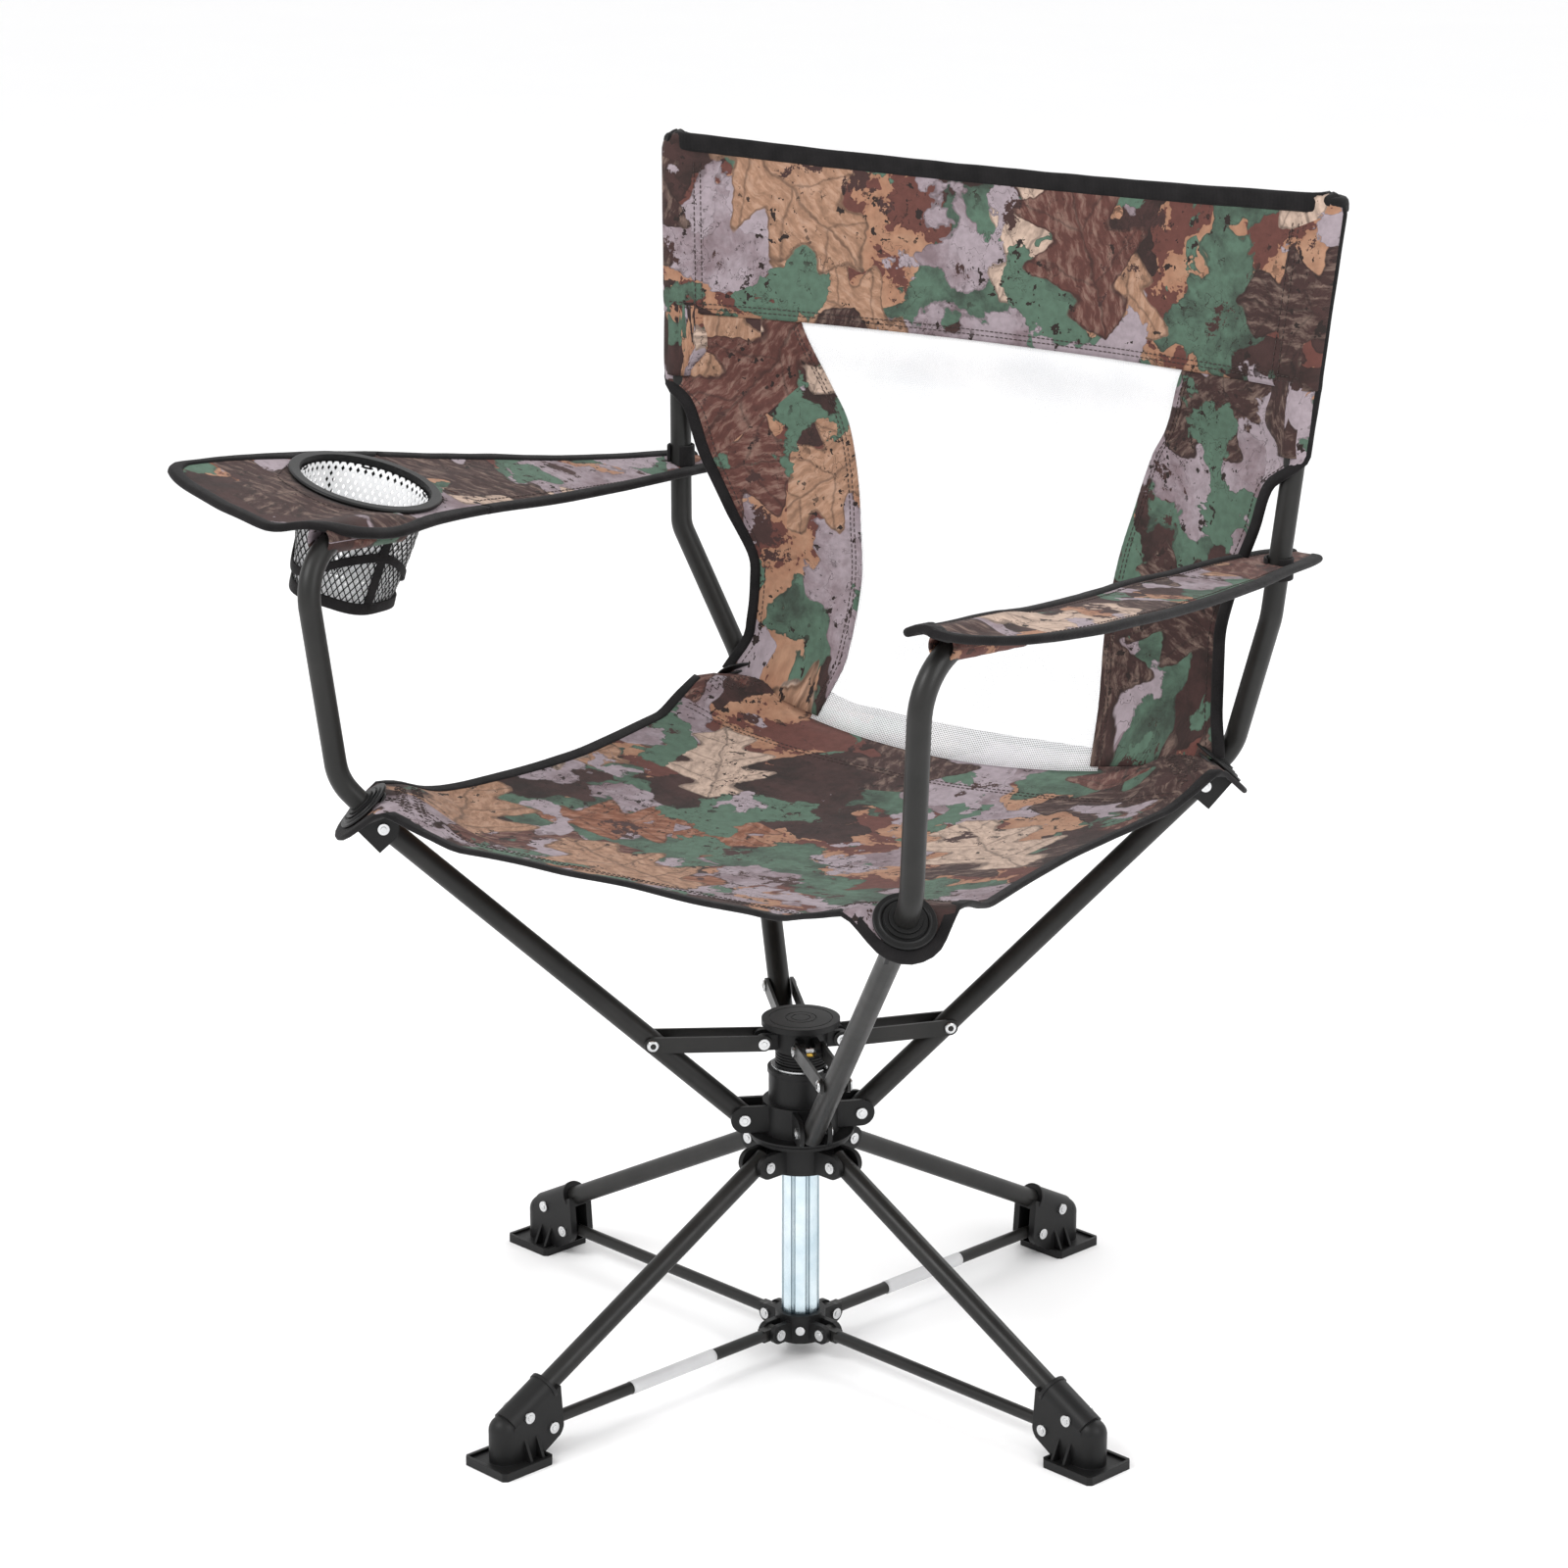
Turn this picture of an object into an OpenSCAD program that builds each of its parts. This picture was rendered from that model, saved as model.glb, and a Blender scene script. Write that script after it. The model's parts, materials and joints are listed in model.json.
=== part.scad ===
// Folding swivel chair for a hunting blind.
// Frame: millimetres, +Z up, origin on the floor under the swivel axis, the seat faces -Y.
// Left and right are those of someone who looks at the front of the chair.

/* [Base] */
// Turn of the base against the seat at rest, in degrees
base_turn = 34; // [0:1:44]
// Diameter of the leg tubes
leg_d = 16; // [14:0.5:18]
// Distance of the leg hinges from the axis
leg_hinge_r = 47.5; // [46:0.5:50]
// Height of the leg hinges
leg_hinge_z = 175; // [173:1:177]
// Distance of the leg rivets in the feet from the axis
foot_rivet_r = 305; // [300:1:310]
// Height of the leg rivets in the feet
foot_rivet_z = 39.5; // [38:0.5:41]
// Distance of the strut rivets in the feet from the axis
strut_foot_r = 280.5; // [279:0.5:282]
// Height of the strut rivets in the feet
strut_foot_z = 23.5; // [23:0.5:24]
// Diameter of the strut rods
strut_d = 10; // [9:0.5:10.5]
// Half of the width of a foot's body
foot_half_w = 12.2; // [12:0.1:13]
// Half of the width of a foot's base plate
plate_half_w = 24.5; // [20:0.5:28]
// Distance of the plate's inner edge from the axis
plate_in_r = 290; // [286:1:294]
// Distance of the plate's outer edge from the axis
plate_out_r = 341; // [336:1:346]

/* [Centre post] */
// Diameter of the fluted post
post_d = 31; // [30:0.5:31]
// Distance of the strut hinges in the lower hub from the axis
low_hinge_r = 32; // [31:0.5:33]
// Height of the strut hinges in the lower hub
low_hinge_z = 23.5; // [23:0.5:24.5]
// Diameter of the lift disc on top
disc_d = 63.5; // [60:0.5:66]

/* [Seat frame] */
// Diameter of the seat tubes, arm posts and back poles
tube_d = 18; // [16:0.5:18]
// Height of the seat tube hinges in the seat hub
seat_hinge_z = 207; // [206.5:0.5:208]
// Slope of the open seat tubes, in degrees
seat_tube_slope = 42.3; // [41:0.1:43]
// Length of a seat tube between its two hinges
seat_tube_len = 383; // [370:1:390]
// Angle of the front seat tubes from straight ahead, in degrees
front_spread = 47; // [45:1:48]
// Angle of the rear seat tubes from straight back, in degrees
rear_spread = 43; // [42:1:45]
// Distance along a seat tube from its hinge to its link rivets
link_along = 99.5; // [96:0.5:102]
// Height of the link hinges on the lift collar
collar_hinge_z = 271; // [270.5:0.5:271.5]
// Lean of the posts' lower ends above the horizontal, in degrees
socket_lean = 48; // [46:1:50]

/* [Arms and back] */
// Half of the distance between the arm posts' upper bends
arm_half_x = 284; // [278:1:290]
// Distance of the arm posts' upper bends in front of the axis
arm_front_y = 265; // [260:1:270]
// Height of the arm posts' upper bends
arm_z = 692; // [680:1:700]
// Length of the level stretch of each arm post
arm_len = 120; // [100:1:125]
// Half of the distance between the tops of the back poles
pole_top_x = 312; // [306:1:316]
// Height of the tops of the back poles
pole_top_z = 938; // [900:1:960]
// Thickness of the seat cloth and back cloth
cloth_t = 3; // [2.5:0.5:4]

/* [Hidden] */
$fn = 64;

// Colours
black_steel = [0.13, 0.13, 0.13];
black_plastic = [0.08, 0.08, 0.08];
zinc = [0.75, 0.83, 0.87];
rivet_steel = [0.72, 0.72, 0.72];
camo = [0.42, 0.32, 0.29];
white_mesh = [0.93, 0.93, 0.93];

// Places in turn round the axis
LEG_BACK = 0;
LEG_LEFT = 1;
LEG_FRONT = 2;
LEG_RIGHT = 3;
FRONT_LEFT = 0;
FRONT_RIGHT = 1;
REAR_RIGHT = 2;
REAR_LEFT = 3;
function leg_azimuth(i) = base_turn + 45 + 90 * i;
corner_azimuth = [270 - front_spread, 270 + front_spread, 90 - rear_spread, 90 + rear_spread];

// Fits
run = 0.05;       // radial clearance of a pin that turns in its bore
snug = 0.05;      // gap round a tube in its socket
pin_r = 2.5;      // shank of a rivet
head_r = 4.6;     // head of a rivet
head_h = 1.8;

// Leg, from its hinge down to its foot
leg_r = leg_d / 2;
leg_slope = atan2(leg_hinge_z - foot_rivet_z, foot_rivet_r - leg_hinge_r);
leg_reach = norm([foot_rivet_r - leg_hinge_r, leg_hinge_z - foot_rivet_z]);
leg_tail = 7.5;       // tube past its hinge
leg_toe = 6.5;        // tube past its foot rivet
tube_wall = 1.2;

// Clevis ears of the three hubs
base_ear = [leg_r + 0.4, leg_r + 4.9];
seat_ear = [tube_d / 2 + 0.4, tube_d / 2 + 4.2];
low_ear = [4, 8.8];

// Heights of the swivel
base_hub_bottom = 163;
base_flange_z = 187;
base_hub_top = 190;
washer_t = 1.6;
seat_hub_bottom = base_hub_top + washer_t;
seat_core_top = 219;
sleeve_top = 247;
ring_z = sleeve_top + 0.3;
ring_t = 2;
spigot_top = 251;
spigot_r = 21;
collar_bottom = spigot_top + 0.4;
collar_shoulder = 278;
collar_top = 283;
post_top = collar_shoulder + 0.3;
post_r = post_d / 2;
post_bore_r = post_r + 0.08;
flutes = 8;

// Seat tube, link and corner
tube_r = tube_d / 2;
corner_r = leg_hinge_r + seat_tube_len * cos(seat_tube_slope);
corner_z = seat_hinge_z + seat_tube_len * sin(seat_tube_slope);
link_out_r = leg_hinge_r + link_along * cos(seat_tube_slope);
link_out_z = seat_hinge_z + link_along * sin(seat_tube_slope);
collar_hinge_r = 31.5;
link_in = tube_r + 0.4;   // inner face of a link bar, measured from the tube's middle
link_t = 2.5;
link_end_r = 6.5;
tube_tail = 8;            // tube past either hinge
socket_floor = 13.2;      // from the corner hinge up the post's lower end
socket_top = 26;
grommet_at = 20.4;
grommet_h = 4.2;

// Bend points of the posts and poles, as (x, y, z)
function polar(az, r, z) = [r * cos(az), r * sin(az), z];
function up_socket(i, s) = polar(corner_azimuth[i], corner_r + s * cos(socket_lean),
  corner_z + s * sin(socket_lean));
arm_bend = 45;
function arm_path(i, side) = [up_socket(i, socket_floor), up_socket(i, 50),
  [side * arm_half_x, -arm_front_y, arm_z], [side * (arm_half_x + 4), arm_len - arm_front_y, arm_z - 11]];
function pole_path(i, side) = [up_socket(i, socket_floor), up_socket(i, 40),
  [side * 288, 236, 612], [side * pole_top_x, 268, pole_top_z]];

// ---------- Shared shapes ----------

module at_leg(i) { rotate([0, 0, leg_azimuth(i)]) children(); }
module at_corner(i) { rotate([0, 0, corner_azimuth[i]]) children(); }

// A rod between two points
module rod(a, b, r) {
  d = b - a;
  translate(a) rotate([0, acos(d.z / norm(d)), atan2(d.y, d.x)]) cylinder(h = norm(d), r = r);
}

function unit(v) = v / norm(v);
function turn_at(p, k) = acos(unit(p[k] - p[k - 1]) * unit(p[k + 1] - p[k]));
function cut_at(p, k, bend) = (k == 0 || k == len(p) - 1) ? 0 : bend * tan(turn_at(p, k) / 2);

// A tube along a path, with round bends at its inner points; a solid rod when its inner radius is 0.
// The straight stretches reach a little way into the bends, a hair thinner than their walls.
module bent_tube(p, bend, r, inner) {
  reach = 0.6;
  hair = 0.04;
  for (k = [0 : len(p) - 2]) {
    d = unit(p[k + 1] - p[k]);
    a = p[k] + d * (k == 0 ? 0 : cut_at(p, k, bend) - reach);
    b = p[k + 1] - d * (k == len(p) - 2 ? 0 : cut_at(p, k + 1, bend) - reach);
    difference() {
      rod(a, b, r - hair);
      if (inner > 0) rod(a - d, b + d, inner + hair);
    }
  }
  for (k = [1 : len(p) - 2]) {
    d1 = unit(p[k] - p[k - 1]);
    d2 = unit(p[k + 1] - p[k]);
    n = unit(d2 - d1 * (d1 * d2));
    c = p[k] - d1 * cut_at(p, k, bend) + n * bend;
    z = cross(-n, d1);
    multmatrix([[-n.x, d1.x, z.x, c.x], [-n.y, d1.y, z.y, c.y], [-n.z, d1.z, z.z, c.z]])
      rotate_extrude(angle = turn_at(p, k)) translate([bend, 0]) difference() {
        circle(r = r);
        if (inner > 0) circle(r = inner);
      }
  }
}

// A pin across the frame's radial plane, along the tangent
module cross_pin(r, z, half, pin) {
  translate([r, 0, z]) rotate([90, 0, 0]) cylinder(h = 2 * half, r = pin, center = true);
}

// A rivet across a clevis: a shank with a stepped head on each side
module rivet(r, z, half) {
  cross_pin(r, z, half, pin_r);
  for (s = [-1, 1]) rivet_head(r, z, half, s);
}

// One head, with the rolled rim in its middle
module rivet_head(r, z, half, side) {
  translate([r, side * (half + head_h / 2), z]) rotate([90, 0, 0])
    cylinder(h = head_h, r = head_r, center = true);
  translate([r, side * (half + head_h + 0.3), z]) rotate([90, 0, 0])
    cylinder(h = 0.6, r = head_r / 2, center = true);
}

// Two ears that stand out from a hub, with round ends
module ears(from_r, hinge_r, hinge_z, half_h, gap) {
  for (s = [-1, 1]) translate([0, s * (gap[0] + gap[1]) / 2, 0]) rotate([90, 0, 0])
    linear_extrude(height = gap[1] - gap[0], center = true) {
      translate([from_r, hinge_z - half_h]) square([hinge_r - from_r, 2 * half_h]);
      translate([hinge_r, hinge_z]) circle(r = half_h);
    }
}

// ---------- Base ----------

module base_hub() {
  color(black_plastic) difference() {
    union() {
      translate([0, 0, base_hub_bottom]) cylinder(h = base_flange_z - base_hub_bottom, r = 31);
      translate([0, 0, base_flange_z]) cylinder(h = base_hub_top - base_flange_z, r = 40);
      translate([0, 0, base_hub_top]) cylinder(h = spigot_top - base_hub_top, r = spigot_r);
      for (i = [0 : 3]) at_leg(i) ears(24, leg_hinge_r, leg_hinge_z, 10, base_ear);
    }
    translate([0, 0, base_hub_bottom - 1]) cylinder(h = 100, r = post_bore_r);
    translate([0, 0, ring_z]) difference() {
      cylinder(h = ring_t, r = spigot_r + 1);
      cylinder(h = ring_t, r = spigot_r - 1.5);
    }
    for (i = [0 : 3]) at_leg(i) cross_pin(leg_hinge_r, leg_hinge_z, 20, pin_r + run);
  }
}

module base_hub_rivets() {
  color(rivet_steel) for (i = [0 : 3]) at_leg(i) rivet(leg_hinge_r, leg_hinge_z, base_ear[1]);
}

module thrust_washer() {
  color([0.85, 0.85, 0.8]) translate([0, 0, base_hub_top]) difference() {
    cylinder(h = washer_t - 0.1, r = 33);
    cylinder(h = washer_t, r = spigot_r + 0.2);
  }
}

module retaining_ring() {
  color(rivet_steel) translate([0, 0, ring_z]) difference() {
    cylinder(h = ring_t - 0.1, r = 24);
    cylinder(h = ring_t, r = spigot_r - 1.4);
    translate([0, -2.5, 0]) cube([30, 5, ring_t]);
  }
}

// ---------- Centre post and lower hub ----------

module centre_post() {
  color(zinc) translate([0, 0, 17]) linear_extrude(height = post_top - 17) difference() {
    circle(r = post_r);
    circle(r = 11.5);
    for (k = [0 : flutes - 1]) rotate(leg_azimuth(k / 2) + 22.5) translate([post_r + 0.3, 0])
      circle(r = 2);
  }
}

module post_plug() {
  color(black_plastic) {
    translate([0, 0, 262]) cylinder(h = post_top - 262, r = 11.45);
    translate([0, 0, post_top]) cylinder(h = 2.4, r = 18.6);
  }
}

module lower_hub() {
  color(black_plastic) difference() {
    union() {
      translate([0, 0, 12]) cylinder(h = 24, r = 20.5);
      for (i = [0 : 3]) at_leg(i) ears(15, low_hinge_r, low_hinge_z, 7.8, low_ear);
    }
    translate([0, 0, 17]) cylinder(h = 30, r = post_r + snug);
    for (i = [0 : 3]) at_leg(i) {
      cross_pin(low_hinge_r, low_hinge_z, 20, pin_r + run);
      translate([24, -low_ear[0], 10]) cube([30, 2 * low_ear[0], 30]);
    }
    rotate([0, 0, leg_azimuth(LEG_FRONT) + 45]) translate([15, 0, 24]) rotate([0, 90, 0])
      cylinder(h = 10, r = 2 + run);
  }
}

// Four rivets, and the set screw that holds the post
module lower_hub_fasteners() {
  color(rivet_steel) {
    for (i = [0 : 3]) at_leg(i) rivet(low_hinge_r, low_hinge_z, low_ear[1]);
    rotate([0, 0, leg_azimuth(LEG_FRONT) + 45]) translate([0, 0, 24]) rotate([0, 90, 0]) {
      translate([0, 0, post_r + 0.1]) cylinder(h = 5.2, r = 2);
      translate([0, 0, 20.5]) cylinder(h = 2, r = 3.8);
    }
  }
}

// ---------- Legs, feet and struts ----------

// Along the leg's own axis, from the hinge
module along_leg() {
  translate([leg_hinge_r, 0, leg_hinge_z]) rotate([0, 90 + leg_slope, 0]) children();
}

// The room in a foot that its strut swings and slides in
module strut_room() {
  rotate([90, 0, 0]) linear_extrude(height = 12, center = true)
    polygon([[260, 13], [323, 13], [323, 30.5], [300, 34.5], [260, 52]]);
}

module leg(i) {
  color(black_steel) at_leg(i) difference() {
    along_leg() translate([0, 0, -leg_tail]) cylinder(h = leg_tail + leg_reach + leg_toe, r = leg_r);
    along_leg() translate([0, 0, -leg_tail - 1])
      cylinder(h = leg_tail + leg_reach + leg_toe + 2, r = leg_r - tube_wall);
    cross_pin(leg_hinge_r, leg_hinge_z, 20, pin_r + run);
    cross_pin(foot_rivet_r, foot_rivet_z, 20, pin_r + run);
    strut_room();
  }
}

module foot_plate() {
  long = plate_out_r - plate_in_r;
  c = 3;
  difference() {
    translate([plate_in_r, 0, 0]) linear_extrude(height = 7) polygon([[c, -plate_half_w],
      [long - c, -plate_half_w], [long, c - plate_half_w], [long, plate_half_w - c],
      [long - c, plate_half_w], [c, plate_half_w], [0, plate_half_w - c], [0, c - plate_half_w]]);
    translate([plate_in_r + 3, -plate_half_w + 3, 5]) cube([long - 6, 2 * plate_half_w - 6, 3]);
  }
}

module foot_body() {
  lobe_r = 11;
  nose_r = 320;
  rotate([90, 0, 0]) linear_extrude(height = 2 * foot_half_w, center = true) {
    translate([strut_foot_r, strut_foot_z]) circle(r = lobe_r);
    polygon([[290, 5], [nose_r, 5], [nose_r, 34], [272, 56], [strut_foot_r - lobe_r, strut_foot_z],
      [273, 15]]);
  }
  translate([nose_r, 0, 5]) cylinder(h = 25, r = foot_half_w);
  translate([nose_r, 0, 30]) sphere(r = foot_half_w);
  along_leg() translate([0, 0, leg_reach - 31]) cylinder(h = 45, r = foot_half_w);
  along_leg() translate([0, 0, leg_reach - 31]) cylinder(h = 3, r = foot_half_w + 0.9);
}

module foot_ribs() {
  for (x = [296, 308], s = [-1, 1]) translate([x, 0, 0]) rotate([90, 0, 90])
    linear_extrude(height = 2.4)
      polygon([[s * 11, 4], [s * 21, 4], [s * 11, 25]]);
}

module foot(i) {
  color(black_plastic) at_leg(i) difference() {
    union() {
      foot_plate();
      foot_body();
      foot_ribs();
    }
    along_leg() translate([0, 0, leg_reach - 60])
      cylinder(h = 60 + leg_toe + 0.3, r = leg_r + snug);
    strut_room();
    cross_pin(foot_rivet_r, foot_rivet_z, 20, pin_r + run);
    cross_pin(strut_foot_r, strut_foot_z, 20, pin_r + run);
  }
}

// The leg's rivet, and the two halves of the strut's rivet
module foot_rivets(i) {
  color(rivet_steel) at_leg(i) {
    rivet(foot_rivet_r, foot_rivet_z, foot_half_w);
    for (s = [-1, 1]) {
      rivet_head(strut_foot_r, strut_foot_z, foot_half_w, s);
      translate([strut_foot_r, s * (foot_half_w + 6.2) / 2, strut_foot_z]) rotate([90, 0, 0])
        cylinder(h = foot_half_w - 6.2, r = pin_r, center = true);
    }
  }
}

module strut(i) {
  rod_len = strut_foot_r - low_hinge_r;
  sink = atan2(low_hinge_z - strut_foot_z, rod_len);
  color(black_steel) at_leg(i) translate([low_hinge_r, 0, low_hinge_z]) rotate([0, sink, 0])
    difference() {
      union() {
        translate([11, 0, 0]) rotate([0, 90, 0]) cylinder(h = rod_len - 11, r = strut_d / 2);
        translate([rod_len, 0, 0]) sphere(r = strut_d / 2);
        rotate([90, 0, 0]) cylinder(h = 7.6, r = 6, center = true);
        translate([0, -3.8, -5]) cube([13, 7.6, 10]);
      }
      rotate([90, 0, 0]) cylinder(h = 20, r = pin_r + run, center = true);
    }
}

// ---------- Swivelling hub and lift collar ----------

module seat_hub() {
  color(black_plastic) difference() {
    union() {
      translate([0, 0, seat_hub_bottom]) cylinder(h = 1.9, r = 43);
      translate([0, 0, seat_hub_bottom]) cylinder(h = seat_core_top - seat_hub_bottom, r = 31);
      translate([0, 0, seat_core_top]) cylinder(h = sleeve_top - seat_core_top, r = 26);
      translate([0, 0, sleeve_top - 4]) cylinder(h = 4, r = 27);
      for (i = [0 : 3]) at_corner(i) ears(22, leg_hinge_r, seat_hinge_z, 11, seat_ear);
    }
    translate([0, 0, seat_hub_bottom - 1]) cylinder(h = 100, r = spigot_r + run);
    for (i = [0 : 3]) at_corner(i) cross_pin(leg_hinge_r, seat_hinge_z, 20, pin_r + run);
  }
}

module seat_hub_rivets() {
  color(rivet_steel) for (i = [0 : 3]) at_corner(i) rivet(leg_hinge_r, seat_hinge_z, seat_ear[1]);
}

module lift_collar() {
  rib_pitch = 2.4;
  color(black_plastic) difference() {
    union() {
      translate([0, 0, collar_bottom]) cylinder(h = 12, r = 19.5);
      for (k = [0 : 3]) translate([0, 0, collar_bottom + 1 + k * rib_pitch])
        cylinder(h = 1.2, r = 20.6);
      translate([0, 0, collar_bottom + 11]) cylinder(h = collar_top - collar_bottom - 11, r = 22);
      for (i = [0 : 3]) at_corner(i) ears(16, collar_hinge_r, collar_hinge_z, link_end_r, [4, link_in - 0.3]);
    }
    translate([0, 0, collar_bottom - 1]) cylinder(h = 60, r = post_bore_r);
    translate([0, 0, collar_shoulder]) cylinder(h = 10, r = 19);
    for (i = [0 : 3]) at_corner(i) cross_pin(collar_hinge_r, collar_hinge_z, 20, pin_r + run);
  }
}

module collar_rivets() {
  color(rivet_steel) for (i = [0 : 3]) at_corner(i)
    rivet(collar_hinge_r, collar_hinge_z, link_in + link_t + 0.1);
}

module lift_disc() {
  color(black_plastic) translate([0, 0, collar_top]) difference() {
    cylinder(h = 5, r = disc_d / 2);
    for (r = [7, 12, 25]) translate([0, 0, 4.3]) difference() {
      cylinder(h = 2, r = r + 0.8);
      cylinder(h = 2, r = r);
    }
  }
}

// A pair of link bars, with the two outer rivet halves that ride on them
module links(i) {
  d = [link_out_r - collar_hinge_r, link_out_z - collar_hinge_z];
  color(black_steel) at_corner(i) {
    for (s = [-1, 1]) translate([0, s * (link_in + link_t / 2), 0]) difference() {
      translate([collar_hinge_r, 0, collar_hinge_z]) rotate([90, 0, 0]) rotate([0, 0, atan2(d.y, d.x)])
        linear_extrude(height = link_t, center = true) {
          circle(r = link_end_r);
          translate([0, -link_end_r]) square([norm(d), 2 * link_end_r]);
          translate([norm(d), 0]) circle(r = link_end_r);
        }
      cross_pin(collar_hinge_r, collar_hinge_z, 20, pin_r + run);
    }
    for (s = [-1, 1]) rivet_head(link_out_r, link_out_z, link_in + link_t, s);
  }
}

// ---------- Seat tubes, corners, posts and poles ----------

module seat_tube(i) {
  long = seat_tube_len + 2 * tube_tail;
  color(black_steel) at_corner(i) difference() {
    translate([leg_hinge_r, 0, seat_hinge_z]) rotate([0, 90 - seat_tube_slope, 0])
      translate([0, 0, -tube_tail]) difference() {
        cylinder(h = long, r = tube_r);
        translate([0, 0, -1]) cylinder(h = long + 2, r = tube_r - tube_wall);
      }
    cross_pin(leg_hinge_r, seat_hinge_z, 20, pin_r + run);
    cross_pin(corner_r, corner_z, 20, pin_r + run);
  }
}

// Along the post's lower end, from the corner hinge
module at_socket(i) {
  at_corner(i) translate([corner_r, 0, corner_z]) rotate([0, 90 - socket_lean, 0]) children();
}

// Plastic corner: a socket for the post over a clevis for the seat tube.
// In the socket's frame Z runs up the post and X points down and out.
module bracket(i) {
  ear_in = tube_r + 0.35;
  ear_t = 3.4;
  color(black_plastic) at_socket(i) difference() {
    union() {
      translate([0, 0, socket_floor - 2.4]) cylinder(h = socket_top - socket_floor + 2.4, r = 12.4);
      translate([0, 0, 16]) cylinder(h = 2, r = 19);
      for (s = [-1, 1]) translate([0, s * (ear_in + ear_t / 2), 0]) rotate([90, 0, 0])
        linear_extrude(height = ear_t, center = true) {
          circle(r = 12.4);
          translate([-12.4, 0]) square([28, socket_floor]);
          translate([0, -12.4]) square([15.6, 12.4 + socket_floor]);
        }
      translate([13.4, -ear_in - ear_t, 0]) cube([2.2, 2 * (ear_in + ear_t), socket_floor]);
      translate([-12.4, -ear_in - ear_t, socket_floor - 0.2]) cube([28, 2 * (ear_in + ear_t), 2.9]);
    }
    translate([0, 0, 8]) cylinder(h = 20, r = tube_r + snug);
    rotate([90, 0, 0]) cylinder(h = 2 * ear_in, r = 12.9, center = true);
    rotate([90, 0, 0]) cylinder(h = 40, r = pin_r + run, center = true);
  }
}

module corner_rivet(i) {
  color(rivet_steel) at_corner(i) rivet(corner_r, corner_z, tube_r + 3.75);
}

// Eyelet ring that holds the cloth on the socket
module grommet(i) {
  color(black_plastic) at_socket(i) translate([0, 0, grommet_at]) rotate_extrude() {
    translate([12.6, 0]) square([10.2, 2.2]);
    translate([12.6, 0]) square([3.2, grommet_h]);
    translate([22.6, 1.1]) circle(r = 1.1);
    translate([18.4, 2]) circle(r = 1.5);
  }
}

module arm_post(i, side) {
  color(black_steel) bent_tube(arm_path(i, side), arm_bend, tube_r, tube_r - tube_wall);
}

module back_pole(i, side) {
  color(black_steel) bent_tube(pole_path(i, side), 30, tube_r, tube_r - tube_wall);
}

// ---------- Cloth ----------

// A closed sheet over a grid of points: row-major, every row of the same length
module sheet(rows, shift) {
  n = len(rows);
  m = len(rows[0]);
  top = [for (row = rows, p = row) p];
  low = [for (p = top) p - shift];
  o = n * m;
  polyhedron(points = concat(top, low), faces = concat(
    [for (a = [0 : n - 2], b = [0 : m - 2]) let (q = a * m + b) each
      [[q + m + 1, q + 1, q], [q + m, q + m + 1, q], [o + q + 1, o + q + m + 1, o + q],
       [o + q + m + 1, o + q + m, o + q]]],
    [for (b = [0 : m - 2]) each [[o + b, b, b + 1], [o + b + 1, o + b, b + 1]]],
    [for (b = [0 : m - 2]) let (q = (n - 1) * m + b) each [[o + q + 1, q + 1, q], [o + q, o + q + 1, q]]],
    [for (a = [0 : n - 2]) let (q = a * m) each [[o + q + m, q + m, q], [o + q, o + q + m, q]]],
    [for (a = [0 : n - 2]) let (q = a * m + m - 1) each [[o + q, q, q + m], [o + q + m, o + q, q + m]]]));
}

// Seat cloth: places across u and along v, each from -1 to 1
seat_front_y = -249;
seat_rear_y = 268;
function seat_x(u, v) = u * (259 - 6 * v - 26 * (1 - v * v));
function seat_y(u, v) = let (f = seat_front_y + 26 * (1 - u * u), r = seat_rear_y - 4 * (1 - u * u))
  (f + r) / 2 + v * (r - f) / 2;
function seat_sag(u, v) = 476 - 10 * (1 - u * u) - 10 * (1 - v * v) - 20 * (1 - u * u) * (1 - v * v);

// Each corner of the cloth leans with the socket that it hangs on
corner_cloth_r = corner_r + 19 * cos(socket_lean);
corner_cloth_z = corner_z + 19 * sin(socket_lean);
function corner_plane(r) = corner_cloth_z
  - (max(r, corner_cloth_r - 17) - corner_cloth_r) / tan(socket_lean);
function smooth(t) = let (c = min(max(t, 0), 1)) c * c * (3 - 2 * c);
function seat_z(u, v) =
  let (x = seat_x(u, v), y = seat_y(u, v), s = seat_sag(u, v),
    i = y < 0 ? (x < 0 ? FRONT_LEFT : FRONT_RIGHT) : (x < 0 ? REAR_LEFT : REAR_RIGHT),
    c = polar(corner_azimuth[i], corner_cloth_r, 0),
    w = 1 - smooth((norm([x - c.x, y - c.y]) - 20) / 80))
  s + w * (corner_plane(norm([x, y])) - s);

module seat_sling() {
  cells = 6;
  color(camo) {
    difference() {
      sheet([for (a = [-cells : cells]) let (v = sin(90 * a / cells))
        [for (b = [-cells : cells]) let (u = sin(90 * b / cells))
          [seat_x(u, v), seat_y(u, v), seat_z(u, v)]]], [0, 0, cloth_t]);
      for (i = [0 : 3]) at_socket(i) translate([0, 0, -60]) cylinder(h = 120, r = 25.5, $fn = 12);
    }
    for (i = [0 : 3]) at_socket(i) translate([0, 0, 18.3]) difference() {
      cylinder(h = 1.8, r = 29, $fn = 12);
      translate([0, 0, -1]) cylinder(h = 4, r = 13.2, $fn = 12);
    }
  }
}

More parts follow.
